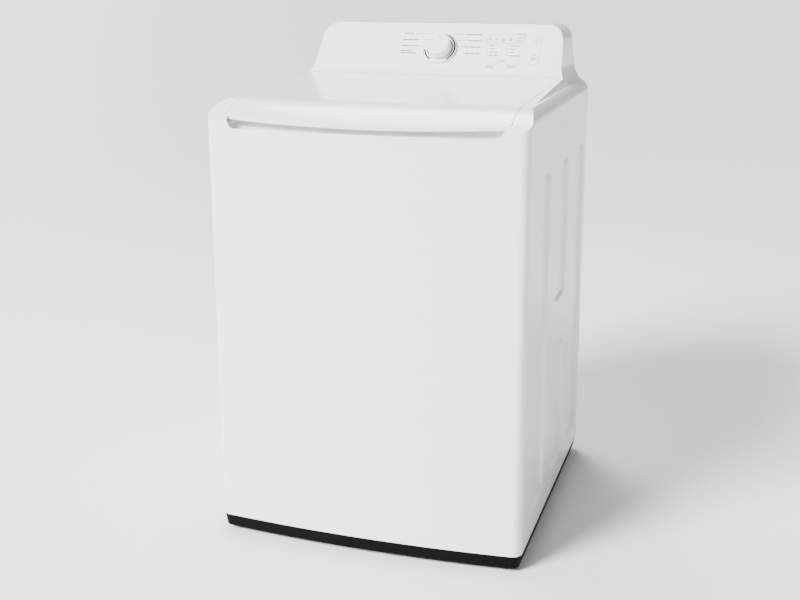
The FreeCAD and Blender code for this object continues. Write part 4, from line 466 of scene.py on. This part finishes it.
# ---- Sub-assemblies ---------------------------------------------------------------------
@dataclass
class Assembly:
    """A group of pieces made from CAD nodes, each with its finish and edge radius."""

    body: str
    nodes: dict[str, tuple[Finish, float]] = field(default_factory=dict)

    def build(self) -> None:
        """Refines every node, then adds what the CAD leaves to the looks."""
        for node, (finish, radius_mm) in self.nodes.items():
            refine(node, self.body, finish, radius_mm)
        self.details()

    def details(self) -> None:
        """Adds nothing unless a class has its own details."""


@dataclass
class Suspension:
    """Springs and sump hose, which give as the tub bounces on its rods."""

    nodes: dict[str, Finish] = field(default_factory=lambda: {"suspension_springs": ZINC, "sump_hose": EPDM})
    end_share: float = 0.04

    def build(self) -> None:
        """Copies each node to a piece on no body, with its place baked into its mesh."""
        for node, finish in self.nodes.items():
            piece = refine(node, None, finish, 0.0)
            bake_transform(piece)


@dataclass
class Cabinet(Assembly):
    """Painted wrap, base, rear sheets and the frame behind them."""

    label_w: float = 62 * MM
    label_h: float = 84 * MM
    label_t: float = 0.2 * MM
    label_from_side: float = 60 * MM
    label_above_cover: float = 30 * MM
    label_margin: float = 5 * MM
    label_lines: int = 9
    long_line: float = 0.8
    short_line: float = 0.55
    line_half: float = 1.1 * MM

    def details(self) -> None:
        """Sticks the rating label on the rear sheet, with lines in place of words."""
        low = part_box("rear_panel")[0]
        cover_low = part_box("rear_service_cover")[0]
        film = bmesh.new()
        left = low.x + self.label_from_side
        foot = cover_low.z + self.label_above_cover
        back = cover_low.y
        add_box(film, Vector((left, back - 0.1 * MM, foot)),
                Vector((left + self.label_w, back + self.label_t, foot + self.label_h)))
        new_piece("rating_label", film, LABEL_SILVER, self.body)
        ink = bmesh.new()
        pitch = self.label_h / (self.label_lines + 1)
        for n in range(self.label_lines):
            z = foot + pitch * (n + 1)
            width = self.label_w * (self.long_line if n % 3 else self.short_line)
            add_box(ink, Vector((left + self.label_margin, back, z - self.line_half)),
                    Vector((left + width, back + 2 * self.label_t, z + self.line_half)))
        new_piece("rating_label_lines", ink, INK_GREY, self.body)


# Print on the panel, in millimetres from the dial's centre: left end, right end, height.
DIAL_LABELS = (
    (-98, -71, 41.5), (-97, -59, 23.7), (-97, -59, 6.7), (-98, -69, -7.0), (-98, -59, -13.0),
    (59, 97, 40.5), (66, 97, 23.5), (59, 97, 6.5), (63, 97, -11.5),
)
DIAL_LEADERS = (
    (-68, -20, 41.5), (-57, -36, 23.8), (-57, -42, 6.6),
    (20, 57, 40.5), (38, 64, 23.7), (44, 57, 6.5),
)
KEY_LABELS = ((121, 136, -43.5), (119, 139, -47), (166, 193, -42.5), (171, 187, -46.5))
LABEL_H, SMALL_H, TINY_H, LEADER_H = 3.0, 2.1, 1.9, 0.8
# The indicator's four stage lamps, its two option rows, and the two columns under it.
STAGE_X, STAGE_Y = (119.0, 135.0, 151.0, 167.0), 34.0
OPTION_Y = (33.0, 25.5)
COLUMN_X, COLUMN_TOP, ROW_PITCH = (115.0, 164.5), 12.0, 9.0
COLUMN_SPANS = ((7.5, 12.5, 21, 21), (22, 13, 10, 27))
LAMP_TO_LABEL = 6.5
# Bars that stand for letters, and the gaps between them and between words.
LETTER_W = (2.1, 1.5, 2.6, 1.3, 1.9, 2.4)
LETTER_GAP, WORD_GAP, WORD_LETTERS = 0.55, 1.5, 5


@dataclass
class Console(Assembly):
    """Control panel with its printed legend, lamps and the dial's ring."""

    print_t: float = 0.12 * MM
    inlay_foot: float = 4.6
    inlay_top: float = 5.15

    def __post_init__(self) -> None:
        """Takes the panel's place from the knob's axis."""
        self.place = knob_plane()

    def put(self, name: str, shape: bmesh.types.BMesh, finish: Finish, slot: str) -> bpy.types.Object:
        """Carries flat work from the dial's own plane to the panel.

        Args:
            name: the piece's name.
            shape: its mesh, X across, Y up the slope and Z out of the panel.
            finish: its finish.
            slot: not used.

        Returns:
            The piece.
        """
        bmesh.ops.transform(shape, matrix=self.place, verts=shape.verts)
        return new_piece(name, shape, finish, self.body)

    def bar(
        self, shape: bmesh.types.BMesh, x0: float, x1: float, y: float, h: float, base: float = 0.0
    ) -> None:
        """Prints one bar.

        Args:
            shape: the mesh it joins.
            x0: left end in millimetres from the dial's centre.
            x1: right end in millimetres.
            y: middle height up the slope in millimetres.
            h: thickness of the line in millimetres.
            base: its foot above the panel in metres.
        """
        low = Vector((x0 * MM, (y - h / 2) * MM, base - 0.05 * MM))
        high = Vector((x1 * MM, (y + h / 2) * MM, base + self.print_t))
        add_box(shape, low, high)

    def words(self, shape: bmesh.types.BMesh, x0: float, x1: float, y: float, h: float = 2.0) -> None:
        """Prints a line of short bars in place of words.

        Args:
            shape: the mesh it joins.
            x0: left end in millimetres from the dial's centre.
            x1: right end in millimetres.
            y: middle height up the slope in millimetres.
            h: height of the bars in millimetres.
        """
        x = x0
        n = 0
        while x < x1 - 0.6:
            end = min(x + LETTER_W[n % len(LETTER_W)], x1)
            self.bar(shape, x, end, y, h)
            x = end + (WORD_GAP if n % WORD_LETTERS == WORD_LETTERS - 1 else LETTER_GAP)
            n += 1

    def arc(
        self, shape: bmesh.types.BMesh, r0: float, r1: float, a0: float, a1: float, z0: float, z1: float
    ) -> None:
        """Adds a flat arc with thickness.

        Args:
            shape: the mesh it joins.
            r0: inner radius in millimetres.
            r1: outer radius in millimetres.
            a0: start angle in degrees, from the right, anticlockwise.
            a1: end angle in degrees.
            z0: its foot in millimetres.
            z1: its top in millimetres.
        """
        turn = Matrix.Rotation(math.radians(a0), 3, "Z")
        ring = [turn @ Vector((r * MM, 0, z * MM)) for r, z in ((r0, z0), (r1, z0), (r1, z1), (r0, z1))]
        verts = [shape.verts.new(p) for p in ring]
        face = shape.faces.new(verts)
        if abs(a1 - a0) >= 359:
            bmesh.ops.spin(shape, geom=list(face.edges), cent=(0, 0, 0), axis=(0, 0, 1),
                           angle=2 * math.pi, steps=72, use_merge=True)
            shape.faces.remove(face)
            bmesh.ops.remove_doubles(shape, verts=shape.verts, dist=1e-7)
        else:
            steps = max(4, int(abs(a1 - a0) / 4))
            bmesh.ops.spin(shape, geom=[face], cent=(0, 0, 0), axis=(0, 0, 1),
                           angle=math.radians(a1 - a0), steps=steps, use_merge=False)
        bmesh.ops.recalc_face_normals(shape, faces=shape.faces)

    def details(self) -> None:
        """Prints the legend, fits the lamps and lays the dark inlay in the ring."""
        self.dial_print()
        self.display_print()
        self.key_icons()
        self.ring_inlay()

    def dial_print(self) -> None:
        """Prints the dial's arc, leader lines and labels."""
        ink = bmesh.new()
        for x0, x1, y in DIAL_LABELS:
            self.words(ink, x0, x1, y, LABEL_H)
        self.put("dial_labels", ink, INK_GREY, "panel_white")
        lines = bmesh.new()
        for x0, x1, y in DIAL_LEADERS:
            self.bar(lines, x0, x1, y, LEADER_H)
        self.put("dial_leaders", lines, INK_FINE, "panel_white")
        lines = bmesh.new()
        self.arc(lines, 41.3, 42.7, -24, 204, -0.05, self.print_t / MM)
        self.put("dial_arc", lines, INK_GREY, "panel_white")

    def display_print(self) -> None:
        """Prints the indicator frame, its lamps' labels and the labels under the keys."""
        x0, x1, y0, y1 = 112.0, 203.0, 18.5, 41.5
        frame_ink = bmesh.new()
        for y in (y0, y1):
            self.bar(frame_ink, x0, x1, y, 0.5, 0.1 * MM)
        for x in (x0, x1 - 0.5):
            self.bar(frame_ink, x, x + 0.5, (y0 + y1) / 2, y1 - y0, 0.1 * MM)
        self.put("indicator_frame", frame_ink, INK_FINE, "panel_white")
        ink = bmesh.new()
        for n, x in enumerate(STAGE_X):
            self.words(ink, x - 4.5, x + 5.0, 29.0, TINY_H)
            if n > 1:
                self.words(ink, x - 3.5, x + 4.0, 25.9, TINY_H)
        for y in OPTION_Y:
            self.words(ink, 183, 199, y, SMALL_H)
        for x, spans in zip(COLUMN_X, COLUMN_SPANS):
            for n, span in enumerate(spans):
                start = x + LAMP_TO_LABEL
                self.words(ink, start, start + span, COLUMN_TOP - ROW_PITCH * n, 2.3)
        for x0, x1, y in KEY_LABELS:
            self.words(ink, x0, x1, y, SMALL_H)
        self.words(ink, 151, 162, -30, TINY_H)
        self.words(ink, 181, 203, 44.5, TINY_H)
        self.put("indicator_labels", ink, INK_GREY, "panel_white")
        lamps = bmesh.new()
        for x in STAGE_X:
            self.arc_disc(lamps, x, STAGE_Y, 0.9)
        for y in OPTION_Y:
            self.arc_disc(lamps, 180.0, y, 0.8)
        for x in COLUMN_X:
            for n in range(len(COLUMN_SPANS[0])):
                self.arc_disc(lamps, x, COLUMN_TOP - ROW_PITCH * n, 1.2, 0.3)
        self.put("indicator_lamps", lamps, INK_GREY, "panel_white")
        lit = bmesh.new()
        second_row = COLUMN_TOP - ROW_PITCH
        for x, y in ((COLUMN_X[0], second_row), (COLUMN_X[1], second_row), (STAGE_X[0], STAGE_Y)):
            self.arc_disc(lit, x, y, 1.3, 0.36)
        self.put("lit_lamps", lit, LAMP_RED, "panel_white")

    def arc_disc(
        self, shape: bmesh.types.BMesh, x: float, y: float, r: float, top: float = 0.25
    ) -> None:
        """Adds a small disc, all sizes in millimetres.

        Args:
            shape: the mesh it joins.
            x: its middle across the panel from the dial's centre.
            y: its middle up the slope.
            r: its radius.
            top: its height above the panel.
        """
        place = Matrix.Translation((x * MM, y * MM, (top / 2 - 0.05) * MM))
        bmesh.ops.create_cone(shape, cap_ends=True, segments=20, radius1=r * MM, radius2=r * MM,
                              depth=(top + 0.1) * MM, matrix=place)

    def key_icons(self) -> None:
        """Prints the power and start icons on their keys, each riding on its key."""
        inverse = self.place.inverted()
        for node, body in (("key_power", "power_key"), ("key_start", "start_key")):
            mesh = frame["nodes"][node].data
            local = [inverse @ v.co for v in mesh.vertices]
            cx = (min(p.x for p in local) + max(p.x for p in local)) / 2 / MM
            cy = (min(p.y for p in local) + max(p.y for p in local)) / 2 / MM
            top = max(p.z for p in local) / MM
            ink = bmesh.new()
            if node == "key_power":
                self.arc(ink, 3.0, 3.7, 0, 360, 0, 0.12)
                self.bar(ink, -0.35, 0.35, 3.6, 3.2)
                self.words(ink, -7.5, 7.5, -8.0, 1.8)
                lift = 2.5
            else:
                self.play_mark(ink)
                self.words(ink, -7, 7, -9.0, 2.0)
                self.words(ink, -7, 7, -13.0, 2.0)
                lift = 5.0
            bmesh.ops.translate(ink, verts=ink.verts, vec=Vector((cx, cy + lift, top)) * MM)
            bmesh.ops.transform(ink, matrix=self.place, verts=ink.verts)
            new_piece(node + "_icon", ink, INK_GREY, body)

    def play_mark(self, shape: bmesh.types.BMesh) -> None:
        """Adds a triangle and two bars for start and pause.

        Args:
            shape: the mesh they join.
        """
        made = bmesh.ops.create_cone(shape, cap_ends=True, segments=3, radius1=2.4 * MM, radius2=2.4 * MM,
                                     depth=0.14 * MM, matrix=Matrix.Rotation(math.radians(-90), 4, "Z"))
        bmesh.ops.translate(shape, verts=made["verts"], vec=(-2.8 * MM, 0, 0.06 * MM))
        for x in (1.2, 3.2):
            self.bar(shape, x, x + 0.9, 0.0, 4.4)

    def ring_inlay(self) -> None:
        """Lays dark arcs and the lit mark in the dial's ring."""
        low, high = self.inlay_foot, self.inlay_top
        dark = bmesh.new()
        self.arc(dark, 35.0, 38.8, -58, 62, low, high)
        self.arc(dark, 35.0, 38.8, 188, 236, low, high)
        self.put("ring_inlay", dark, INLAY_BLACK, "black_plastic")
        lit = bmesh.new()
        self.arc(lit, 35.2, 38.6, 63, 78, low, high)
        self.put("ring_lamp", lit, LAMP_RED, "black_plastic")


@dataclass
class Knob(Assembly):
    """Cycle knob with its pointer line and the bright band round its foot."""

    cap_r: float = 30.0
    band_foot: float = 2.6
    band_top: float = 8.6
    band_in: float = 0.3
    band_out: float = 0.45
    pointer_half: float = 0.7 * MM
    pointer_from: float = 17 * MM
    pointer_to: float = 24.5 * MM
    pointer_sunk: float = 0.2 * MM
    pointer_proud: float = 0.1 * MM
    pointer_edge: float = 0.12 * MM

    def details(self) -> None:
        """Inlays the pointer on the cap's face and fits the band round its foot."""
        place = knob_plane()
        inverse = place.inverted()
        reach = max((inverse @ v.co).z for v in frame["nodes"]["knob"].data.vertices)
        shape = bmesh.new()
        add_box(shape, Vector((-self.pointer_half, self.pointer_from, reach - self.pointer_sunk)),
                Vector((self.pointer_half, self.pointer_to, reach + self.pointer_proud)),
                self.pointer_edge)
        bmesh.ops.transform(shape, matrix=place, verts=shape.verts)
        new_piece("knob_pointer", shape, INK_GREY, self.body)
        band = bmesh.new()
        inner, outer = (self.cap_r - self.band_in) * MM, (self.cap_r + self.band_out) * MM
        foot, top = self.band_foot * MM, self.band_top * MM
        add_turned(band, [(inner, foot), (outer, foot), (outer, top), (inner, top)], 96, True)
        bmesh.ops.transform(band, matrix=place, verts=band.verts)
        new_piece("knob_band", band, CHROME, self.body)


@dataclass
class Basket(Assembly):
    """Spun steel basket with a pierced wall."""

    columns: int = 96
    rows: int = 22
    web_share: float = 0.36
    wall: float = 0.8 * MM
    knuckle: float = 14 * MM
    first_hole: float = 0.06
    last_hole: float = 0.9
    columns_per_rib: int = 8

    def details(self) -> None:
        """Makes the pierced wall and the rolled floor in place of the plain drum."""
        low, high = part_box("basket_drum")
        radius = high.x - self.wall / 2
        z0 = low.z + self.knuckle
        height = high.z - z0
        shape = bmesh.new()
        outline = [(radius, z0 + height * n / self.rows) for n in range(self.rows + 1)]
        add_turned(shape, outline, self.columns, False)
        pierced = [f for f in shape.faces if self.is_pierced(f, z0, height)]
        inset = min(height / self.rows, 2 * math.pi * radius / self.columns) * self.web_share
        bmesh.ops.inset_individual(shape, faces=pierced, thickness=inset, depth=0.0, use_even_offset=True)
        bmesh.ops.delete(shape, geom=pierced, context="FACES_ONLY")
        flat = low.z + self.wall / 2
        floor = [(radius, z0), (radius - 1 * MM, z0 - 6 * MM), (radius - 4 * MM, z0 - 10 * MM),
                 (radius - self.knuckle, flat), (150 * MM, flat), (74 * MM, flat)]
        add_turned(shape, floor, self.columns, False)
        bmesh.ops.remove_doubles(shape, verts=shape.verts, dist=1e-6)
        bmesh.ops.recalc_face_normals(shape, faces=shape.faces)
        piece = new_piece("basket_wall", shape, STAINLESS, self.body)
        skin = piece.modifiers.new("sheet", "SOLIDIFY")
        skin.thickness = self.wall
        skin.offset = 0.0
        round_off = piece.modifiers.new("round_holes", "SUBSURF")
        round_off.levels = 1
        round_off.render_levels = 1
        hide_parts("basket_drum")

    def is_pierced(self, face: bmesh.types.BMFace, z0: float, height: float) -> bool:
        """Tells whether a face of the wall gets a hole, leaving plain bands at its ends.

        Args:
            face: the face.
            z0: the wall's foot.
            height: the wall's height.

        Returns:
            True for a face that is pierced.
        """
        centre = face.calc_center_median()
        share = (centre.z - z0) / height
        column = int((math.atan2(centre.y, centre.x) + math.pi) / (2 * math.pi) * self.columns)
        return self.first_hole < share < self.last_hole and column % self.columns_per_rib != 0


# ---- Studio ------------------------------------------------------------------------------
@dataclass
class Studio:
    """Floor, lights and camera."""

    floor_half: float = 40.0
    camera_place: tuple[float, float, float] = (0.7816, -2.4975, 1.2447)
    camera_yaw: float = 17.97
    camera_pitch: float = 14.05
    camera_roll: float = -0.17
    lens_mm: float = 52.2
    shift_y: float = -0.06
    sky: float = 0.5
    backdrop: float = 6.0
    sun: float = 9.0
    sun_spread: float = 22.0

    def build(self) -> None:
        """Sets the floor, the lights and the camera."""
        self.floor()
        self.lights()
        self.camera()

    def floor(self) -> None:
        """Lays a wide pale floor."""
        shape = bmesh.new()
        bmesh.ops.create_grid(shape, x_segments=1, y_segments=1, size=self.floor_half)
        mesh = bpy.data.meshes.new("studio_floor")
        shape.to_mesh(mesh)
        shape.free()
        floor = bpy.data.objects.new("studio_floor", mesh)
        bpy.context.scene.collection.objects.link(floor)
        mesh.materials.append(SHOP.material(FLOOR))

    def lights(self) -> None:
        """Sets a white surround, a soft sun from the front left, one behind, and two soft boxes."""
        world = bpy.data.worlds.new("studio_surround")
        bpy.context.scene.world = world
        world.use_nodes = True
        tree = world.node_tree
        tree.nodes.clear()
        white = (1.0, 1.0, 1.0, 1.0)
        seen = add_node(tree, "ShaderNodeBackground", {"Color": white, "Strength": self.backdrop})
        lit = add_node(tree, "ShaderNodeBackground", {"Color": white, "Strength": self.sky})
        ray = add_node(tree, "ShaderNodeLightPath")
        both = add_node(tree, "ShaderNodeMixShader", {}, {
            0: ray.outputs["Is Camera Ray"], 1: lit.outputs[0], 2: seen.outputs[0],
        })
        add_node(tree, "ShaderNodeOutputWorld", {}, {"Surface": both.outputs[0]})
        self.lamp("sun", "SUN", (-2.4, -3.4, 3.6), self.sun, math.radians(self.sun_spread))
        self.lamp("key", "AREA", (-1.9, -3.0, 2.6), 110.0, 1.4)
        self.lamp("top", "AREA", (-0.6, 1.2, 3.0), 70.0, 1.2)
        self.lamp("rear", "SUN", (-3.0, 3.4, 2.6), 1.5, math.radians(self.sun_spread))

    def lamp(
        self, name: str, kind: str, place: tuple[float, float, float], power: float, spread: float
    ) -> None:
        """Hangs a light that looks at the machine's middle.

        Args:
            name: the light's name.
            kind: SUN or AREA.
            place: where it hangs.
            power: watts, or watts a square metre for a sun.
            spread: the sun's angle or the soft box's width.
        """
        lamp = bpy.data.lights.new(name + "_light", kind)
        lamp.energy = power
        if kind == "SUN":
            lamp.angle = spread
        else:
            lamp.size = spread
        holder = bpy.data.objects.new(name + "_light", lamp)
        holder.location = place
        aim = Vector((0, 0, 0.6)) - Vector(place)
        holder.rotation_euler = aim.to_track_quat("-Z", "Y").to_euler()
        bpy.context.scene.collection.objects.link(holder)

    def camera(self) -> None:
        """Places the camera, right of the front and a little above the machine."""
        data = bpy.data.cameras.new("camera")
        data.lens = self.lens_mm
        data.shift_y = self.shift_y
        holder = bpy.data.objects.new("camera", data)
        holder.location = self.camera_place
        turn = Matrix.Rotation(math.radians(self.camera_yaw), 3, "Z")
        turn = turn @ Matrix.Rotation(math.radians(90 - self.camera_pitch), 3, "X")
        turn = turn @ Matrix.Rotation(math.radians(self.camera_roll), 3, "Z")
        holder.rotation_euler = turn.to_euler()
        bpy.context.scene.collection.objects.link(holder)
        bpy.context.scene.camera = holder


def assemblies() -> list[Assembly | Suspension]:
    """Lists every sub-assembly with its nodes, finishes and edge radii in millimetres.

    Returns:
        The assemblies, in the order they are built.
    """
    cabinet = Cabinet("cabinet", {
        "base_frame": (POLYPROPYLENE_BLACK, 1.2),
        "cabinet_wrap": (ENAMEL_WHITE, 0.6),
        "rear_panel": (GALVANISED, 0.3),
        "rear_service_cover": (GALVANISED, 0.3),
        "panel_screws": (ZINC, 0.3),
        "cord_gland": (POLYPROPYLENE_BLACK, 0.5),
        "corner_brackets": (GALVANISED, 0.4),
        "top_cover": (ABS_WHITE, 1.3),
        "console_rear_cover": (GALVANISED, 0.3),
        "dispenser_housing": (POLYPROPYLENE_GREY, 0.6),
        "inlet_valves": (VALVE_NYLON, 0.6),
        "fill_hose": (EPDM, 0.0),
        "pressure_sensor": (POLYPROPYLENE_GREY, 0.8),
        "lid_lock": (POLYPROPYLENE_BLACK, 0.6),
        "lid_bumpers": (EPDM, 0.6),
        "suspension_rods": (GROUND_STEEL, 0.3),
        "rod_sockets": (POLYPROPYLENE_GREY, 0.5),
        "drain_pump": (POLYPROPYLENE_GREY, 0.8),
        "drain_hose_inner": (EPDM, 0.0),
        "drain_spigot": (POLYPROPYLENE_BLACK, 0.5),
    })
    console = Console("cabinet", {
        "control_panel": (PANEL_FILM, 0.5),
        "indicator_window": (LENS, 0.15),
        "control_board": (BOARD, 0.2),
        "encoder": (POLYPROPYLENE_GREY, 0.4),
        "knob_bezel": (SATIN_RING, 0.4),
    })
    lid = Assembly("lid", {
        "lid_panel": (ABS_WHITE, 1.2),
        "lid_liner": (ABS_WHITE, 0.6),
        "lid_strike": (ZINC, 0.3),
        "hinge_pins": (GROUND_STEEL, 0.4),
    })
    tub = Assembly("tub", {
        "outer_tub": (TUB_POLYPROPYLENE, 1.0),
        "tub_cover": (TUB_POLYPROPYLENE, 0.8),
        "drive_bracket": (GALVANISED, 0.6),
        "gearcase": (CAST_ALUMINIUM, 1.6),
        "tub_bearings": (GROUND_STEEL, 0.4),
        "damper_cups": (POLYPROPYLENE_GREY, 1.0),
        "motor_housing": (MOTOR_PAINT, 0.8),
        "drive_belt": (EPDM, 0.4),
    })
    basket = Basket("basket", {
        "balance_ring": (TUB_POLYPROPYLENE, 1.5),
        "basket_hub": (CAST_ALUMINIUM, 1.2),
        "spin_tube": (GROUND_STEEL, 0.4),
    })
    singles = [
        Knob("knob", {"knob": (ABS_WHITE, 0.8)}),
        Assembly("power_key", {"key_power": (KEY_ABS, 0.5)}),
        Assembly("start_key", {"key_start": (KEY_ABS, 0.5)}),
        Assembly("temperature_key", {"key_temperature": (KEY_ABS, 0.5)}),
        Assembly("soil_key", {"key_soil": (KEY_ABS, 0.5)}),
        Assembly("drawer", {"detergent_drawer": (ABS_WHITE, 0.8)}),
        Assembly("bolt", {"lock_bolt": (GROUND_STEEL, 0.4)}),
        Assembly("agitator", {
            "agitator": (AGITATOR_POLYPROPYLENE, 1.6),
            "agitator_shaft": (GROUND_STEEL, 0.5),
        }),
        Assembly("softener", {"softener_cup": (SOFTENER_BLUE, 1.2)}),
        Assembly("rotor", {"motor_rotor": (GROUND_STEEL, 0.5)}),
        Assembly("pulley", {"drive_pulley": (CAST_ALUMINIUM, 0.8)}),
        Assembly("impeller", {"pump_impeller": (POLYPROPYLENE_BLACK, 0.4)}),
        Assembly("foot_fl", {"foot_front_left": (EPDM, 0.5)}),
        Assembly("foot_fr", {"foot_front_right": (EPDM, 0.5)}),
        Assembly("foot_rl", {"foot_rear_left": (EPDM, 0.5)}),
        Assembly("foot_rr", {"foot_rear_right": (EPDM, 0.5)}),
    ]
    return [cabinet, console, lid, tub, basket, Suspension(), *singles]


def main() -> None:
    """Builds every sub-assembly, then the studio."""
    logging.basicConfig(level=logging.INFO, format="%(message)s")
    for assembly in assemblies():
        assembly.build()
    Studio().build()


if __name__ == "__main__":
    main()
